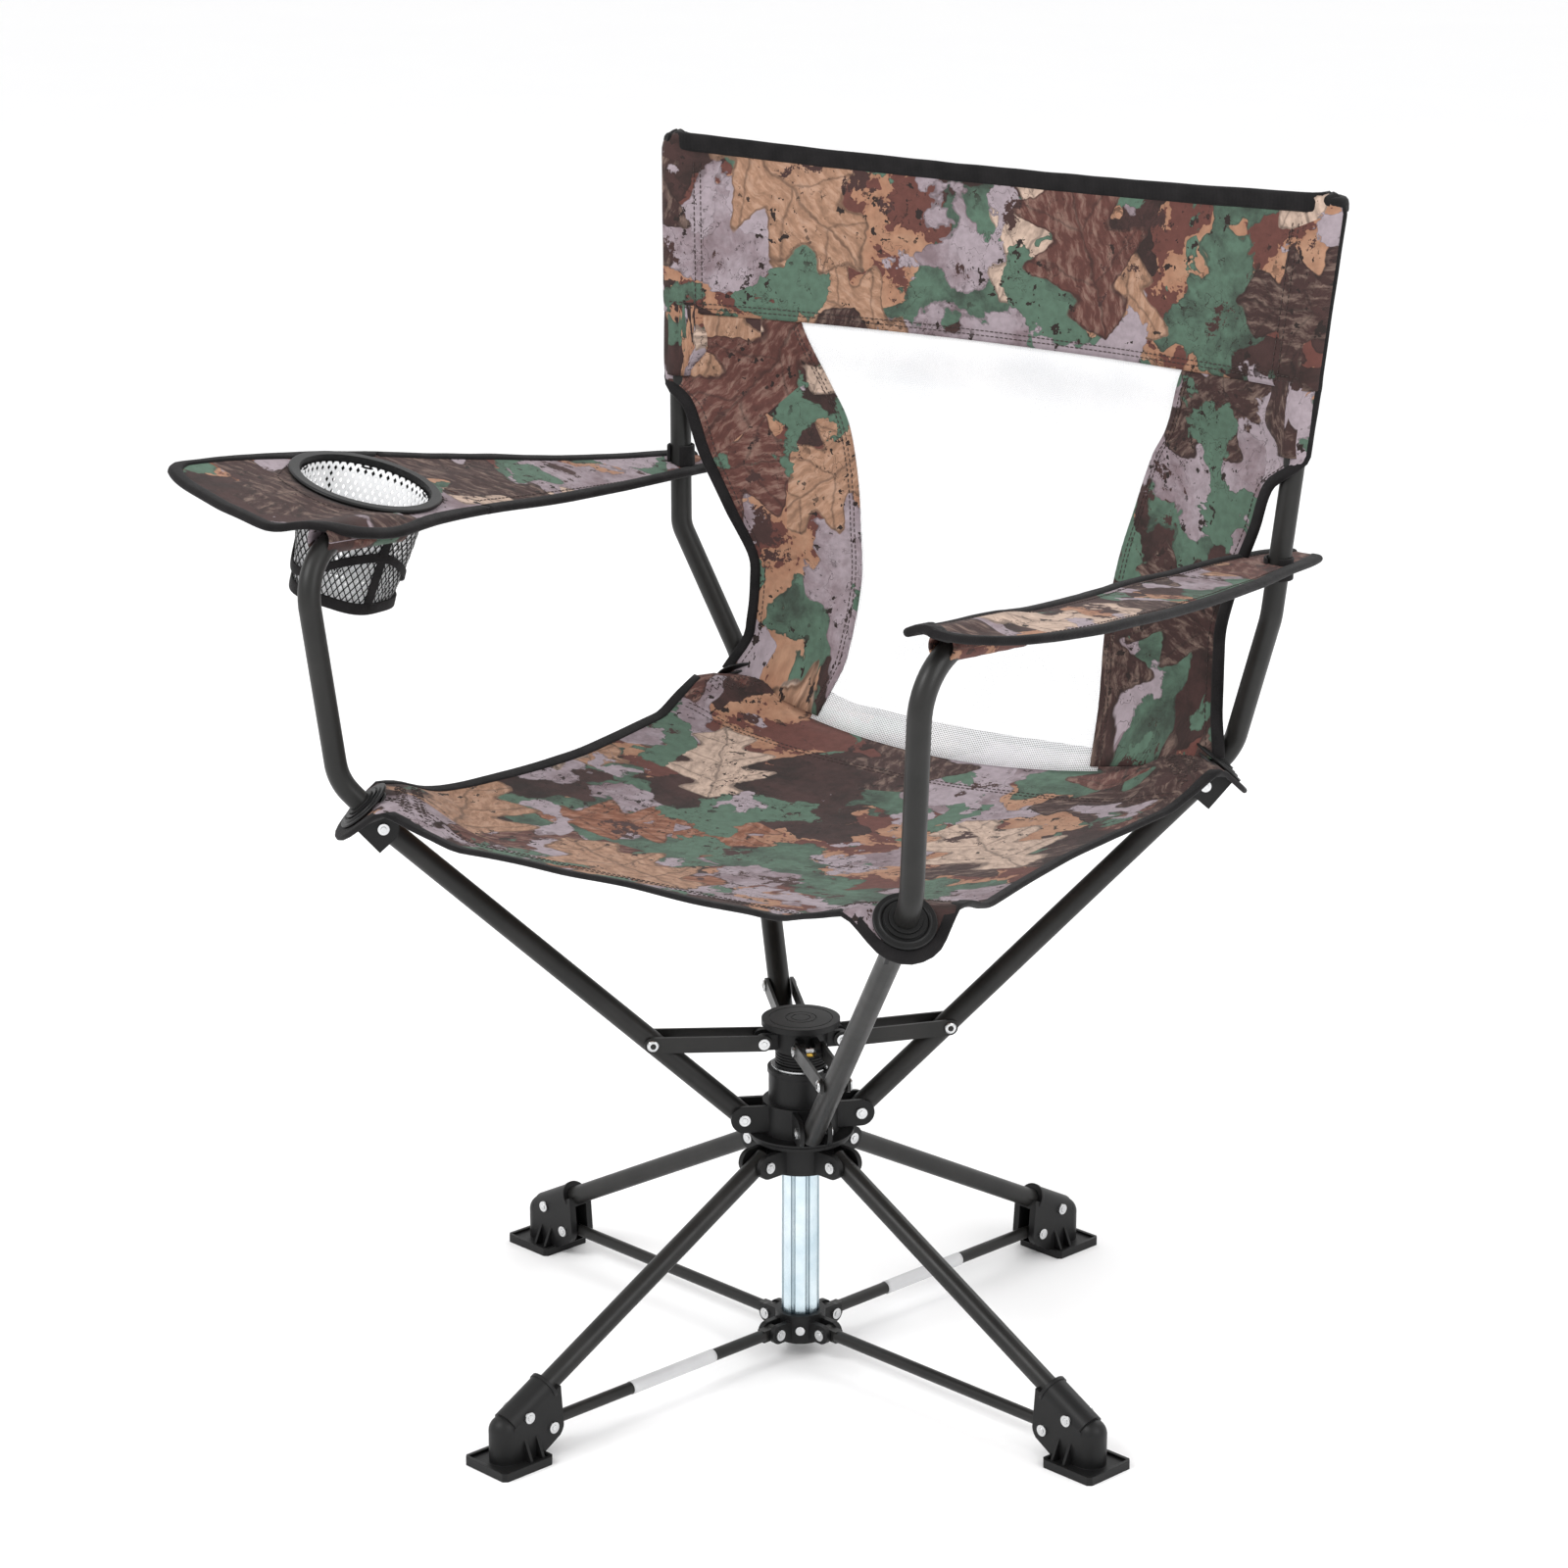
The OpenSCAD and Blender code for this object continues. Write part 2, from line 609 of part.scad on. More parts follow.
// Back cloth, from the seat seam up. Each station is
// [height at the edges, half width, depth at the edges, belly, rise of the edges over the middle]
sleeve_bottom = 740;
band_bottom = 797;
back_top = 941;
pole_low = [288, 236, 612];
function on_pole(z) = let (t = (z - pole_low.z) / (pole_top_z - pole_low.z))
  pole_low + t * ([pole_top_x, 268, pole_top_z] - pole_low);
function at_pole(z, belly, rise) = let (p = on_pole(z)) [z, p.x - 10.3, p.y, belly, rise];
lower_back = [[499, 214, 244, -32, 40], [522, 222, 266, -18, 14], [575, 230, 264, 0, 4],
  [630, 249, 249, 32, 0], [680, 271, 242, 54, 0], [715, 280, 243, 58, 0],
  at_pole(sleeve_bottom, 50, 0), at_pole(band_bottom, 26, 0)];
upper_back = [at_pole(band_bottom, 26, 0), at_pole(870, 24, 4), at_pole(back_top, 22, 10)];
window_half = [138, 128, 124, 130, 141, 152, 166, 189];

function on_back(s, x) = let (q = x / s[1], bow = 1 - q * q) [x, s[2] + s[3] * bow, s[0] - s[4] * bow];
function across(s, x0, x1, n) = [for (k = [0 : n]) on_back(s, x0 + (x1 - x0) * k / n)];

module back_panel() {
  color(camo) difference() {
    union() {
      for (s = [0, 1]) mirror([s, 0, 0]) {
        sheet([for (k = [0 : len(lower_back) - 1])
          across(lower_back[k], window_half[k], lower_back[k][1], 6)], [0, -cloth_t, 0]);
        rod(on_pole(sleeve_bottom), on_pole(back_top + 3), 11.3);
      }
      sheet([for (st = upper_back) across(st, -st[1], st[1], 16)], [0, -cloth_t, 0]);
    }
    for (s = [0, 1]) mirror([s, 0, 0])
      rod(on_pole(sleeve_bottom - 20), on_pole(pole_top_z + 0.5), tube_r + 0.4);
  }
}

module mesh_window() {
  color(white_mesh) sheet([for (k = [0 : len(lower_back) - 1]) let (w = window_half[k] - 0.6,
    st = k == len(lower_back) - 1 ? lower_back[k] - [0.6, 0, 0, 0, 0] : lower_back[k])
    across(st, -w, w, 10)], [0, -1.2, 0]);
}

// Arm cloths are flat sheets that lie on the arm tubes and are looped round the back poles
arm_cloth_t = 2.4;
left_outline = [[-141, 20], [-126, 4], [-71, -14], [-21, -11], [9, 29], [27, 95], [19, 160], [16, 240],
  [20, 340], [20, 500], [22, 545], [-10, 545], [-22, 505], [-54, 390], [-98, 253], [-128, 140]];
right_outline = [[-14, -2], [12, -6], [52, 60], [67, 148], [53, 314], [26, 500], [15, 562], [-12, 568],
  [-14, 482], [-31, 448], [-34, 339], [-16, 176]];
left_tilt = [-3.84, 14.84, 0];
right_tilt = [-5.14, 0, 0];
cup_at = [-58, 151];
cup_out_r = 63;
cup_in_r = 54;
cup_deep = 85;

module on_left_arm() { translate([-287, -265, 697]) rotate(left_tilt) children(); }
module on_right_arm() { translate([284, -265, 700]) rotate(right_tilt) children(); }

module arm_cloth(outline, front, rear, side) {
  path = arm_path(front, side);
  difference() {
    union() {
      if (side < 0) on_left_arm() arm_slab(outline);
      else on_right_arm() arm_slab(outline);
      rod(path[2] + 0.2 * (path[3] - path[2]), path[3], tube_r + 2.3);
    }
    bent_tube([path[0], path[1], path[2], path[3] + 0.2 * (path[3] - path[2])], arm_bend, tube_r + 0.4, 0);
    bent_tube(pole_path(rear, side), 30, tube_r + 0.4, 0);
    if (side < 0) on_left_arm() translate(cup_at) cylinder(h = 30, r = cup_out_r - 4.2, center = true);
  }
}

module arm_slab(outline) {
  translate([0, 0, -arm_cloth_t / 2]) linear_extrude(height = arm_cloth_t) polygon(outline);
}

// Stiff rim of the drink pocket
module cup_ring() {
  color(black_plastic) on_left_arm() translate([cup_at.x, cup_at.y, arm_cloth_t / 2 + 0.3]) rotate_extrude() {
    translate([cup_in_r, 0]) square([cup_out_r - cup_in_r - 2, 3.4]);
    translate([cup_out_r - 2, 1.7]) circle(r = 1.7);
    translate([cup_in_r, -6]) square([3.6, 8]);
  }
}

module cup_pocket() {
  color(white_mesh) on_left_arm() translate([cup_at.x, cup_at.y, 3 - cup_deep]) difference() {
    cylinder(h = cup_deep, r1 = 45, r2 = cup_in_r - 0.4);
    translate([0, 0, 1.4]) cylinder(h = cup_deep, r1 = 43.6, r2 = cup_in_r - 1.8);
  }
}

base_hub();
base_hub_rivets();
thrust_washer();
retaining_ring();
centre_post();
post_plug();
lower_hub();
lower_hub_fasteners();
leg(LEG_BACK);  // leg_back
leg(LEG_LEFT);  // leg_left
leg(LEG_FRONT);  // leg_front
leg(LEG_RIGHT);  // leg_right
foot(LEG_BACK);  // foot_back
foot(LEG_LEFT);  // foot_left
foot(LEG_FRONT);  // foot_front
foot(LEG_RIGHT);  // foot_right
foot_rivets(LEG_BACK);  // foot_rivets_back
foot_rivets(LEG_LEFT);  // foot_rivets_left
foot_rivets(LEG_FRONT);  // foot_rivets_front
foot_rivets(LEG_RIGHT);  // foot_rivets_right
strut(LEG_BACK);  // strut_back
strut(LEG_LEFT);  // strut_left
strut(LEG_FRONT);  // strut_front
strut(LEG_RIGHT);  // strut_right
seat_hub();
seat_hub_rivets();
lift_collar();
collar_rivets();
lift_disc();
seat_tube(FRONT_LEFT);  // seat_tube_front_left
seat_tube(FRONT_RIGHT);  // seat_tube_front_right
seat_tube(REAR_RIGHT);  // seat_tube_rear_right
seat_tube(REAR_LEFT);  // seat_tube_rear_left
links(FRONT_LEFT);  // links_front_left
links(FRONT_RIGHT);  // links_front_right
links(REAR_RIGHT);  // links_rear_right
links(REAR_LEFT);  // links_rear_left
bracket(FRONT_LEFT);  // bracket_front_left
bracket(FRONT_RIGHT);  // bracket_front_right
bracket(REAR_RIGHT);  // bracket_rear_right
bracket(REAR_LEFT);  // bracket_rear_left
corner_rivet(FRONT_LEFT);  // corner_rivet_front_left
corner_rivet(FRONT_RIGHT);  // corner_rivet_front_right
corner_rivet(REAR_RIGHT);  // corner_rivet_rear_right
corner_rivet(REAR_LEFT);  // corner_rivet_rear_left
grommet(FRONT_LEFT);  // grommet_front_left
grommet(FRONT_RIGHT);  // grommet_front_right
grommet(REAR_RIGHT);  // grommet_rear_right
grommet(REAR_LEFT);  // grommet_rear_left
arm_post(FRONT_LEFT, -1);  // arm_post_left
arm_post(FRONT_RIGHT, 1);  // arm_post_right
back_pole(REAR_LEFT, -1);  // back_pole_left
back_pole(REAR_RIGHT, 1);  // back_pole_right
seat_sling();
back_panel();
mesh_window();
color(camo) arm_cloth(left_outline, FRONT_LEFT, REAR_LEFT, -1);  // arm_cloth_left
color(camo) arm_cloth(right_outline, FRONT_RIGHT, REAR_RIGHT, 1);  // arm_cloth_right
cup_ring();
cup_pocket();
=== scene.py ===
import json
import math

import bmesh
import bpy
import numpy as np
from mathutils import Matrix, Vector, noise

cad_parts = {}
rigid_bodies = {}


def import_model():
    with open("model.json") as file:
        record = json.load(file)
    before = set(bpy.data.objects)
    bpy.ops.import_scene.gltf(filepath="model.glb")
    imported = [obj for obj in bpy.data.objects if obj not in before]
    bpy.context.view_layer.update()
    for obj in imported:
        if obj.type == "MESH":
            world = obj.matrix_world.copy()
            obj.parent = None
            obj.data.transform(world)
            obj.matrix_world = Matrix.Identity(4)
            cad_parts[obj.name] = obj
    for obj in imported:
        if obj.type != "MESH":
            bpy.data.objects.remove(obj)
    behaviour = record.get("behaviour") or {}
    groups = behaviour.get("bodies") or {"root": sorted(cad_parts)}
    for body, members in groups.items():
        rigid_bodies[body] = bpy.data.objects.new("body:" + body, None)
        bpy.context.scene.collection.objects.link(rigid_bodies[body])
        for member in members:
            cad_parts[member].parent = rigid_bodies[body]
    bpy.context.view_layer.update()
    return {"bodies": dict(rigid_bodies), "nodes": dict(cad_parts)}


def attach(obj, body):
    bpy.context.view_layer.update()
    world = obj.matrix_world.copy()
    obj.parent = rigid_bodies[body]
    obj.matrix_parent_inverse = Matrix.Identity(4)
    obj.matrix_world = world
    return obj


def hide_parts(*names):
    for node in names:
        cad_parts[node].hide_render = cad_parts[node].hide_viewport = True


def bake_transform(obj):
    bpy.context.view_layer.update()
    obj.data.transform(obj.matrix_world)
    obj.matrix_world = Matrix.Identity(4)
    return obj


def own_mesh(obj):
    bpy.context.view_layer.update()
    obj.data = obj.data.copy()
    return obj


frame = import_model()
MM = 0.001


# ---------- Small helpers ----------

def arr(*values):
    return np.array(values, float)


def unit(v):
    return v / max(np.linalg.norm(v), 1e-12)


def smooth(t):
    t = min(max(t, 0.0), 1.0)
    return t * t * (3 - 2 * t)


def curve_at(knots, values, t):
    """A smooth curve through values at the knots, with the slopes limited so that it never overshoots."""
    k = max(0, min(len(knots) - 2, int(np.searchsorted(knots, t, side="right")) - 1))
    step = np.diff(knots)
    rise = np.diff(values) / step

    def slope(i):
        if i == 0:
            return rise[0]
        if i == len(knots) - 1:
            return rise[-1]
        if rise[i - 1] * rise[i] <= 0:
            return 0.0
        return 2 * rise[i - 1] * rise[i] / (rise[i - 1] + rise[i])

    h = step[k]
    s = (t - knots[k]) / h
    return (values[k] * (1 + 2 * s) * (1 - s) ** 2 + h * slope(k) * s * (1 - s) ** 2
            + values[k + 1] * s * s * (3 - 2 * s) - h * slope(k + 1) * s * s * (1 - s))


def make(name, points, faces, material, body, flat=None, weld=False):
    """A mesh piece from points in millimetres in the row frame. flat is each point's place on the cloth."""
    mesh = bpy.data.meshes.new(name)
    mesh.from_pydata([tuple(float(c) * MM for c in p) for p in points], [], faces)
    mesh.validate()
    if flat is not None:
        layer = mesh.uv_layers.new(name="cloth")
        for loop in mesh.loops:
            place = flat[loop.vertex_index]
            layer.data[loop.index].uv = (place[0] * MM, place[1] * MM)
    if weld:
        shape = bmesh.new()
        shape.from_mesh(mesh)
        bmesh.ops.remove_doubles(shape, verts=shape.verts, dist=1e-6)
        shape.to_mesh(mesh)
        shape.free()
    for polygon in mesh.polygons:
        polygon.use_smooth = True
    mesh.materials.append(material)
    piece = bpy.data.objects.new(name, mesh)
    bpy.context.scene.collection.objects.link(piece)
    if body:
        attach(piece, body)
    return piece


def normal_of(surface, a, b, step=1e-3):
    across = surface(a + step, b) - surface(a - step, b)
    along = surface(a, b + step) - surface(a, b - step)
    return unit(np.cross(across, along))


def cloth(name, surface, flat, a_range, b_range, counts, thick, material, body):
    """A closed sheet of cloth. surface(a, b) is its middle and flat(a, b) its place on the cut cloth.
    a_range is two ends, or every place across."""
    cols, rows = counts
    a_values = np.linspace(a_range[0], a_range[1], cols + 1) if len(a_range) == 2 else a_range
    cols = len(a_values) - 1
    b_values = np.linspace(b_range[0], b_range[1], rows + 1)
    top, low, places = [], [], []
    for b in b_values:
        for a in a_values:
            p = surface(a, b)
            n = normal_of(surface, a, b)
            top.append(p + n * thick / 2)
            low.append(p - n * thick / 2)
            places.append(flat(a, b))
    m = cols + 1
    o = len(top)
    faces = []
    for r in range(rows):
        for c in range(cols):
            q = r * m + c
            faces.append((q, q + 1, q + m + 1, q + m))
            faces.append((o + q, o + q + m, o + q + m + 1, o + q + 1))
    for c in range(cols):
        q = rows * m + c
        faces.append((o + c, o + c + 1, c + 1, c))
        faces.append((q, q + 1, o + q + 1, o + q))
    for r in range(rows):
        q = r * m
        e = q + cols
        faces.append((q, q + m, o + q + m, o + q))
        faces.append((e + m, e, o + e, o + e + m))
    return make(name, top + low, faces, material, body, places + places)


def sweep(path, sides, ups, sections, closed):
    """Points and faces of a changing section carried along a path. sides and ups are its two directions."""
    points, faces = [], []
    n, k = len(path), len(sections[0])
    for p, side, up, section in zip(path, sides, ups, sections):
        for s, u in section:
            points.append(p + side * s + up * u)
    for i in range(n if closed else n - 1):
        j = (i + 1) % n
        for a in range(k):
            b = (a + 1) % k
            faces.append((i * k + a, i * k + b, j * k + b, j * k + a))
    if not closed:
        faces.append(tuple(range(k - 1, -1, -1)))
        faces.append(tuple((n - 1) * k + a for a in range(k)))
    return points, faces


def distances(path):
    return np.concatenate([[0], np.cumsum([np.linalg.norm(b - a) for a, b in zip(path, path[1:])])])


def resample(path, count, closed=False):
    """The same path with evenly spaced points."""
    path = [np.array(p, float) for p in path]
    if closed:
        path = path + [path[0]]
    far = distances(path)
    places = np.linspace(0, far[-1], count + 1 if closed else count)
    columns = [np.interp(places, far, [p[i] for p in path]) for i in range(len(path[0]))]
    out = list(np.stack(columns, 1))
    return out[:-1] if closed else out


def pill(width, height, corner=6):
    """A flat band's section with round edges, from 0 to width across."""
    r = height / 2
    right = [(width - r + r * math.cos(t), r * math.sin(t))
             for t in np.linspace(-math.pi / 2, math.pi / 2, corner)]
    left = [(r + r * math.cos(t), r * math.sin(t))
            for t in np.linspace(math.pi / 2, 3 * math.pi / 2, corner)]
    return right + left


def tape(name, path, sides, ups, width, height, body, closed=False, out=1.2, wave=0.25):
    """Binding folded over a cloth edge. path is the edge, and sides point from it into the cloth.
    width is one number or one for each point."""
    widths = width if hasattr(width, "__len__") else [width] * len(path)
    sections = [pill(w, height) for w in widths]
    moved = []
    for i, (p, side, up) in enumerate(zip(path, sides, ups)):
        shift = wave * noise.noise(Vector(p * 0.035))
        moved.append(p - side * (out + shift) + up * shift * 0.5)
    points, faces = sweep(moved, sides, ups, sections, closed)
    far = distances(moved)
    around = len(sections[0])
    flat = [(far[i // around], 2.2 * (i % around)) for i in range(len(points))]
    return make(name, points, faces, TAPE, body, flat)


def stitches(name, runs, body, material=None, pitch=4.6, length=3.3, radius=0.42):
    """Rows of thread. Each run is a path and the cloth's normal at each of its points."""
    points, faces = [], []
    for path, normals in runs:
        far = distances(path)
        count = int(far[-1] / pitch)
        for k in range(count):
            ends = []
            for place in (k * pitch + 0.5, k * pitch + 0.5 + length):
                p = arr(*[np.interp(place, far, [q[i] for q in path]) for i in range(3)])
                n = unit(arr(*[np.interp(place, far, [q[i] for q in normals]) for i in range(3)]))
                ends.append((p, n))
            (p, n), (q, _) = ends
            ahead = unit(q - p)
            side = unit(np.cross(n, ahead))
            o = len(points)
            for share, size in ((0, 0.35), (0.2, 1), (0.8, 1), (1, 0.35)):
                centre = p + (q - p) * share
                for turn in range(5):
                    t = 2 * math.pi * turn / 5
                    points.append(centre + (side * math.cos(t) + n * math.sin(t)) * radius * size)
            for ring in range(3):
                for turn in range(5):
                    u = (turn + 1) % 5
                    faces.append((o + ring * 5 + turn, o + ring * 5 + u,
                                  o + ring * 5 + 5 + u, o + ring * 5 + 5 + turn))
            faces.append(tuple(o + t for t in range(4, -1, -1)))
            faces.append(tuple(o + 15 + t for t in range(5)))
    return make(name, points, faces, material or THREAD, body)


# ---------- Materials ----------

def linear(red, green, blue):
    """A colour as it looks on a screen, from 0 to 255, as the shader's linear values."""
    out = []
    for c in (red, green, blue):
        c = c / 255
        out.append(c / 12.92 if c <= 0.04045 else ((c + 0.055) / 1.055) ** 2.4)
    return (*out, 1.0)


class Shader:
    """A material's nodes, made by short calls."""

    def __init__(self, name):
        self.material = bpy.data.materials.new(name)
        self.material.use_nodes = True
        self.nodes = self.material.node_tree.nodes
        self.links = self.material.node_tree.links
        self.surface = self.nodes["Principled BSDF"]
        self.output = self.nodes["Material Output"]

    def node(self, kind, **settings):
        made = self.nodes.new("ShaderNode" + kind)
        for key, value in settings.items():
            setattr(made, key, value)
        return made

    def put(self, socket, value):
        if isinstance(value, bpy.types.NodeSocket):
            self.links.new(value, socket)
        elif value is not None:
            socket.default_value = value

    def math(self, operation, a, b=None, c=None, clamp=False):
        made = self.node("Math", operation=operation, use_clamp=clamp)
        for socket, value in zip(made.inputs, (a, b, c)):
            self.put(socket, value)
        return made.outputs[0]

    def vector(self, operation, a, b=None, scale=None):
        made = self.node("VectorMath", operation=operation)
        self.put(made.inputs[0], a)
        self.put(made.inputs[1], b)
        self.put(made.inputs[3], scale)
        return made.outputs["Value" if operation in ("LENGTH", "DOT_PRODUCT") else "Vector"]

    def mix(self, share, a, b, blend="MIX"):
        made = self.node("Mix", data_type="RGBA", blend_type=blend)
        self.put(made.inputs[0], share)
        self.put(made.inputs[6], a)
        self.put(made.inputs[7], b)
        return made.outputs[2]

    def ramp(self, value, stops, constant=False):
        made = self.node("ValToRGB")
        ramp = made.color_ramp
        ramp.interpolation = "CONSTANT" if constant else "LINEAR"
        ramp.elements.remove(ramp.elements[1])
        ramp.elements[0].position = stops[0][0]
        ramp.elements[0].color = stops[0][1]
        for place, colour in stops[1:]:
            ramp.elements.new(place).color = colour
        self.put(made.inputs[0], value)
        return made.outputs[0]

    def grey_ramp(self, value, low, high):
        """0 up to low and 1 from high on. With low above high it falls instead."""
        made = self.node("MapRange", clamp=True)
        self.put(made.inputs["Value"], value)
        made.inputs["From Min"].default_value = low
        made.inputs["From Max"].default_value = high
        return made.outputs["Result"]

    def noise(self, where, scale, detail=3, rough=0.5, dims="3D", output="Fac", distort=0.0):
        made = self.node("TexNoise", noise_dimensions=dims)
        self.put(made.inputs["Vector"], where)
        made.inputs["Scale"].default_value = scale
        made.inputs["Detail"].default_value = detail
        made.inputs["Roughness"].default_value = rough
        made.inputs["Distortion"].default_value = distort
        return made.outputs[output]

    def place(self):
        """Metres in the row frame."""
        return self.node("TexCoord").outputs["Object"]

    def flat(self):
        """Metres on the cut cloth."""
        return self.node("UVMap", uv_map="cloth").outputs["UV"]

    def parts(self, where):
        made = self.node("SeparateXYZ")
        self.put(made.inputs[0], where)
        return made.outputs

    def join(self, x, y, z=0.0):
        made = self.node("CombineXYZ")
        for socket, value in zip(made.inputs, (x, y, z)):
            self.put(socket, value)
        return made.outputs[0]

    def bump(self, height, strength, distance, under=None):
        made = self.node("Bump")
        made.inputs["Strength"].default_value = strength
        made.inputs["Distance"].default_value = distance
        self.put(made.inputs["Height"], height)
        self.put(made.inputs["Normal"], under)
        return made.outputs[0]

    def finish(self, colour=None, rough=None, normal=None, **constants):
        self.put(self.surface.inputs["Base Color"], colour)
        self.put(self.surface.inputs["Roughness"], rough)
        self.put(self.surface.inputs["Normal"], normal)
        for key, value in constants.items():
            self.surface.inputs[key.replace("_", " ")].default_value = value
        return self.material


def powder_coat():
    s = Shader("powder_coat")
    where = s.place()
    cloud = s.noise(where, 26, 4)
    grain = s.noise(where, 1500, 2)
    peel = s.noise(where, 420, 2)
    colour = s.mix(s.grey_ramp(cloud, 0.3, 0.75), linear(24, 24, 23), linear(36, 35, 34))
    rough = s.math("MULTIPLY_ADD", s.noise(where, 60, 5), 0.2, 0.3)
    normal = s.bump(s.math("MULTIPLY_ADD", grain, 0.5, peel), 0.16, 0.0003)
    return s.finish(colour, rough, normal, Specular_IOR_Level=0.3)


def moulded_plastic(name, tone, rough_low):
    s = Shader(name)
    where = s.place()
    speck = s.noise(where, 900, 3, 0.6)
    cloud = s.noise(where, 18, 4)
    colour = s.mix(s.grey_ramp(cloud, 0.3, 0.7), linear(tone, tone, tone + 1),
                   linear(tone + 9, tone + 9, tone + 9))
    rough = s.math("MULTIPLY_ADD", cloud, 0.2, rough_low)
    edge = s.node("Bevel", samples=4)
    edge.inputs["Radius"].default_value = 0.0007
    normal = s.bump(speck, 0.22, 0.00035, edge.outputs[0])
    return s.finish(colour, rough, normal, Specular_IOR_Level=0.26)


def plated_steel():
    s = Shader("plated_steel")
    where = s.place()
    cloud = s.noise(where, 160, 4)
    colour = s.mix(cloud, linear(176, 178, 180), linear(226, 226, 226))
    rough = s.math("MULTIPLY_ADD", s.noise(where, 500, 3), 0.22, 0.14)
    edge = s.node("Bevel", samples=4)
    edge.inputs["Radius"].default_value = 0.0005
    normal = s.bump(s.noise(where, 900, 2), 0.1, 0.0002, edge.outputs[0])
    return s.finish(colour, rough, normal, Metallic=1.0)


def zinc_post():
    s = Shader("zinc_post")
    where = s.place()
    x, y, z = s.parts(where)
    streak = s.noise(s.join(s.math("MULTIPLY", x, 300.0), s.math("MULTIPLY", y, 300.0),
                            s.math("MULTIPLY", z, 9.0)), 1, 3)
    cloud = s.noise(where, 45, 4)
    colour = s.mix(s.grey_ramp(cloud, 0.3, 0.7), linear(196, 216, 226), linear(226, 238, 243))
    # Painted shade: an ambient occlusion mask darkens the colour to a deep blue grey in the flutes and other
    # recesses.
    painted_flute_shade = s.node("AmbientOcclusion", samples=6)
    painted_flute_shade.inputs["Distance"].default_value = 0.008
    colour = s.mix(s.grey_ramp(painted_flute_shade.outputs["AO"], 0.95, 0.45), colour, linear(70, 92, 104))
    rough = s.math("MULTIPLY_ADD", streak, 0.22, 0.14)
    return s.finish(colour, rough, s.bump(streak, 0.12, 0.0003), Metallic=0.8)


def nylon():
    s = Shader("nylon")
    where = s.place()
    colour = s.mix(s.noise(where, 80, 3), linear(206, 203, 194), linear(222, 220, 212))
    return s.finish(colour, s.math("MULTIPLY_ADD", s.noise(where, 200, 2), 0.2, 0.35),
                    s.bump(s.noise(where, 900, 2), 0.1, 0.0002), Subsurface_Weight=0.1)


def weave_height(s, where, pitch):
    """Crossing threads, high where one passes over the other."""
    x, y, _ = s.parts(where)
    turn = 2 * math.pi / pitch
    warp = s.math("SINE", s.math("MULTIPLY", x, turn))
    weft = s.math("SINE", s.math("MULTIPLY", y, turn))
    return s.math("MULTIPLY_ADD", s.math("MULTIPLY", warp, weft), 0.5, 0.5)


INK = {
    "black": linear(28, 21, 22), "dark": linear(58, 38, 38), "red": linear(92, 54, 49),
    "tan": linear(164, 126, 102), "pale": linear(192, 168, 152), "lilac": linear(154, 142, 149),
    "green": linear(77, 104, 89), "deep": linear(50, 66, 58), "rust": linear(134, 84, 62),
    "mauve": linear(122, 106, 112),
}


def random_of(s, cell):
    """Two more random numbers from a cell's colour."""
    return s.parts(cell)


def leaf_layer(s, where, under, scale, shift, size, inks, share, lobes):
    """Printed leaves, one in each cell of a scattered pattern, over what is under them."""
    moved = s.vector("ADD", where, shift)
    cell = s.node("TexVoronoi", voronoi_dimensions="2D", feature="F1")
    s.put(cell.inputs["Vector"], moved)
    cell.inputs["Scale"].default_value = scale
    cell.inputs["Randomness"].default_value = 0.85
    first, second, third = random_of(s, cell.outputs["Color"])
    offset = s.vector("SUBTRACT", moved, cell.outputs["Position"])
    wobble = s.noise(moved, 30, 3, 0.6, "2D", "Color")
    offset = s.vector("ADD", offset, s.vector("SCALE", s.vector("SUBTRACT", wobble, (0.5, 0.5, 0.5)),
                                              scale=size * 0.16))
    turned = s.node("VectorRotate", rotation_type="Z_AXIS")
    s.put(turned.inputs["Vector"], offset)
    s.put(turned.inputs["Angle"], s.math("MULTIPLY", first, 6.28))
    x, y, _ = s.parts(turned.outputs[0])
    along = s.math("MULTIPLY_ADD", x, 0.5 / size, 0.5)
    side = s.math("ABSOLUTE", s.math("DIVIDE", y, size))
    arch = s.math("POWER", s.math("SINE", s.math("MULTIPLY", along, math.pi, clamp=False)), 0.75)
    lobe_phase = s.math("MULTIPLY_ADD", along, 2 * math.pi * lobes, s.math("MULTIPLY", side, -4.0))
    lobe = s.math("MULTIPLY_ADD", s.math("SINE", lobe_phase), 0.24, 0.66)
    edge = s.math("MULTIPLY", s.math("MULTIPLY", arch, lobe), 0.74)
    inside = s.math("SUBTRACT", edge, side)
    mask = s.grey_ramp(inside, 0.0, 0.02)
    rim = s.math("SUBTRACT", s.grey_ramp(inside, 0.0, 0.02), s.grey_ramp(inside, 0.03, 0.06))
    shown = s.math("LESS_THAN", second, share)
    mask = s.math("MULTIPLY", mask, shown)
    rim = s.math("MULTIPLY", rim, shown)
    steps = [(k / len(inks), INK[ink]) for k, ink in enumerate(inks)]
    colour = s.ramp(third, steps, constant=True)
    wash = s.noise(s.vector("MULTIPLY", turned.outputs[0], (50.0, 160.0, 1.0)), 1, 4, 0.65, "2D")
    colour = s.mix(s.math("MULTIPLY", s.grey_ramp(wash, 0.4, 0.72), 0.4), colour, INK["black"])
    colour = s.mix(s.math("MULTIPLY", s.grey_ramp(wash, 0.52, 0.3), 0.26), colour, INK["pale"])
    vein_phase = s.math("SUBTRACT", s.math("MULTIPLY", along, float(lobes)),
                        s.math("MULTIPLY", side, 1.35))
    vein = s.math("PINGPONG", vein_phase, 0.5)
    fine = s.math("MAXIMUM", s.grey_ramp(vein, 0.05, 0.0), s.grey_ramp(side, 0.022, 0.006))
    colour = s.mix(s.math("MULTIPLY", fine, 0.5), colour, INK["black"])
    out = s.mix(mask, under, colour)
    return s.mix(s.math("MULTIPLY", rim, 0.55), out, INK["black"])


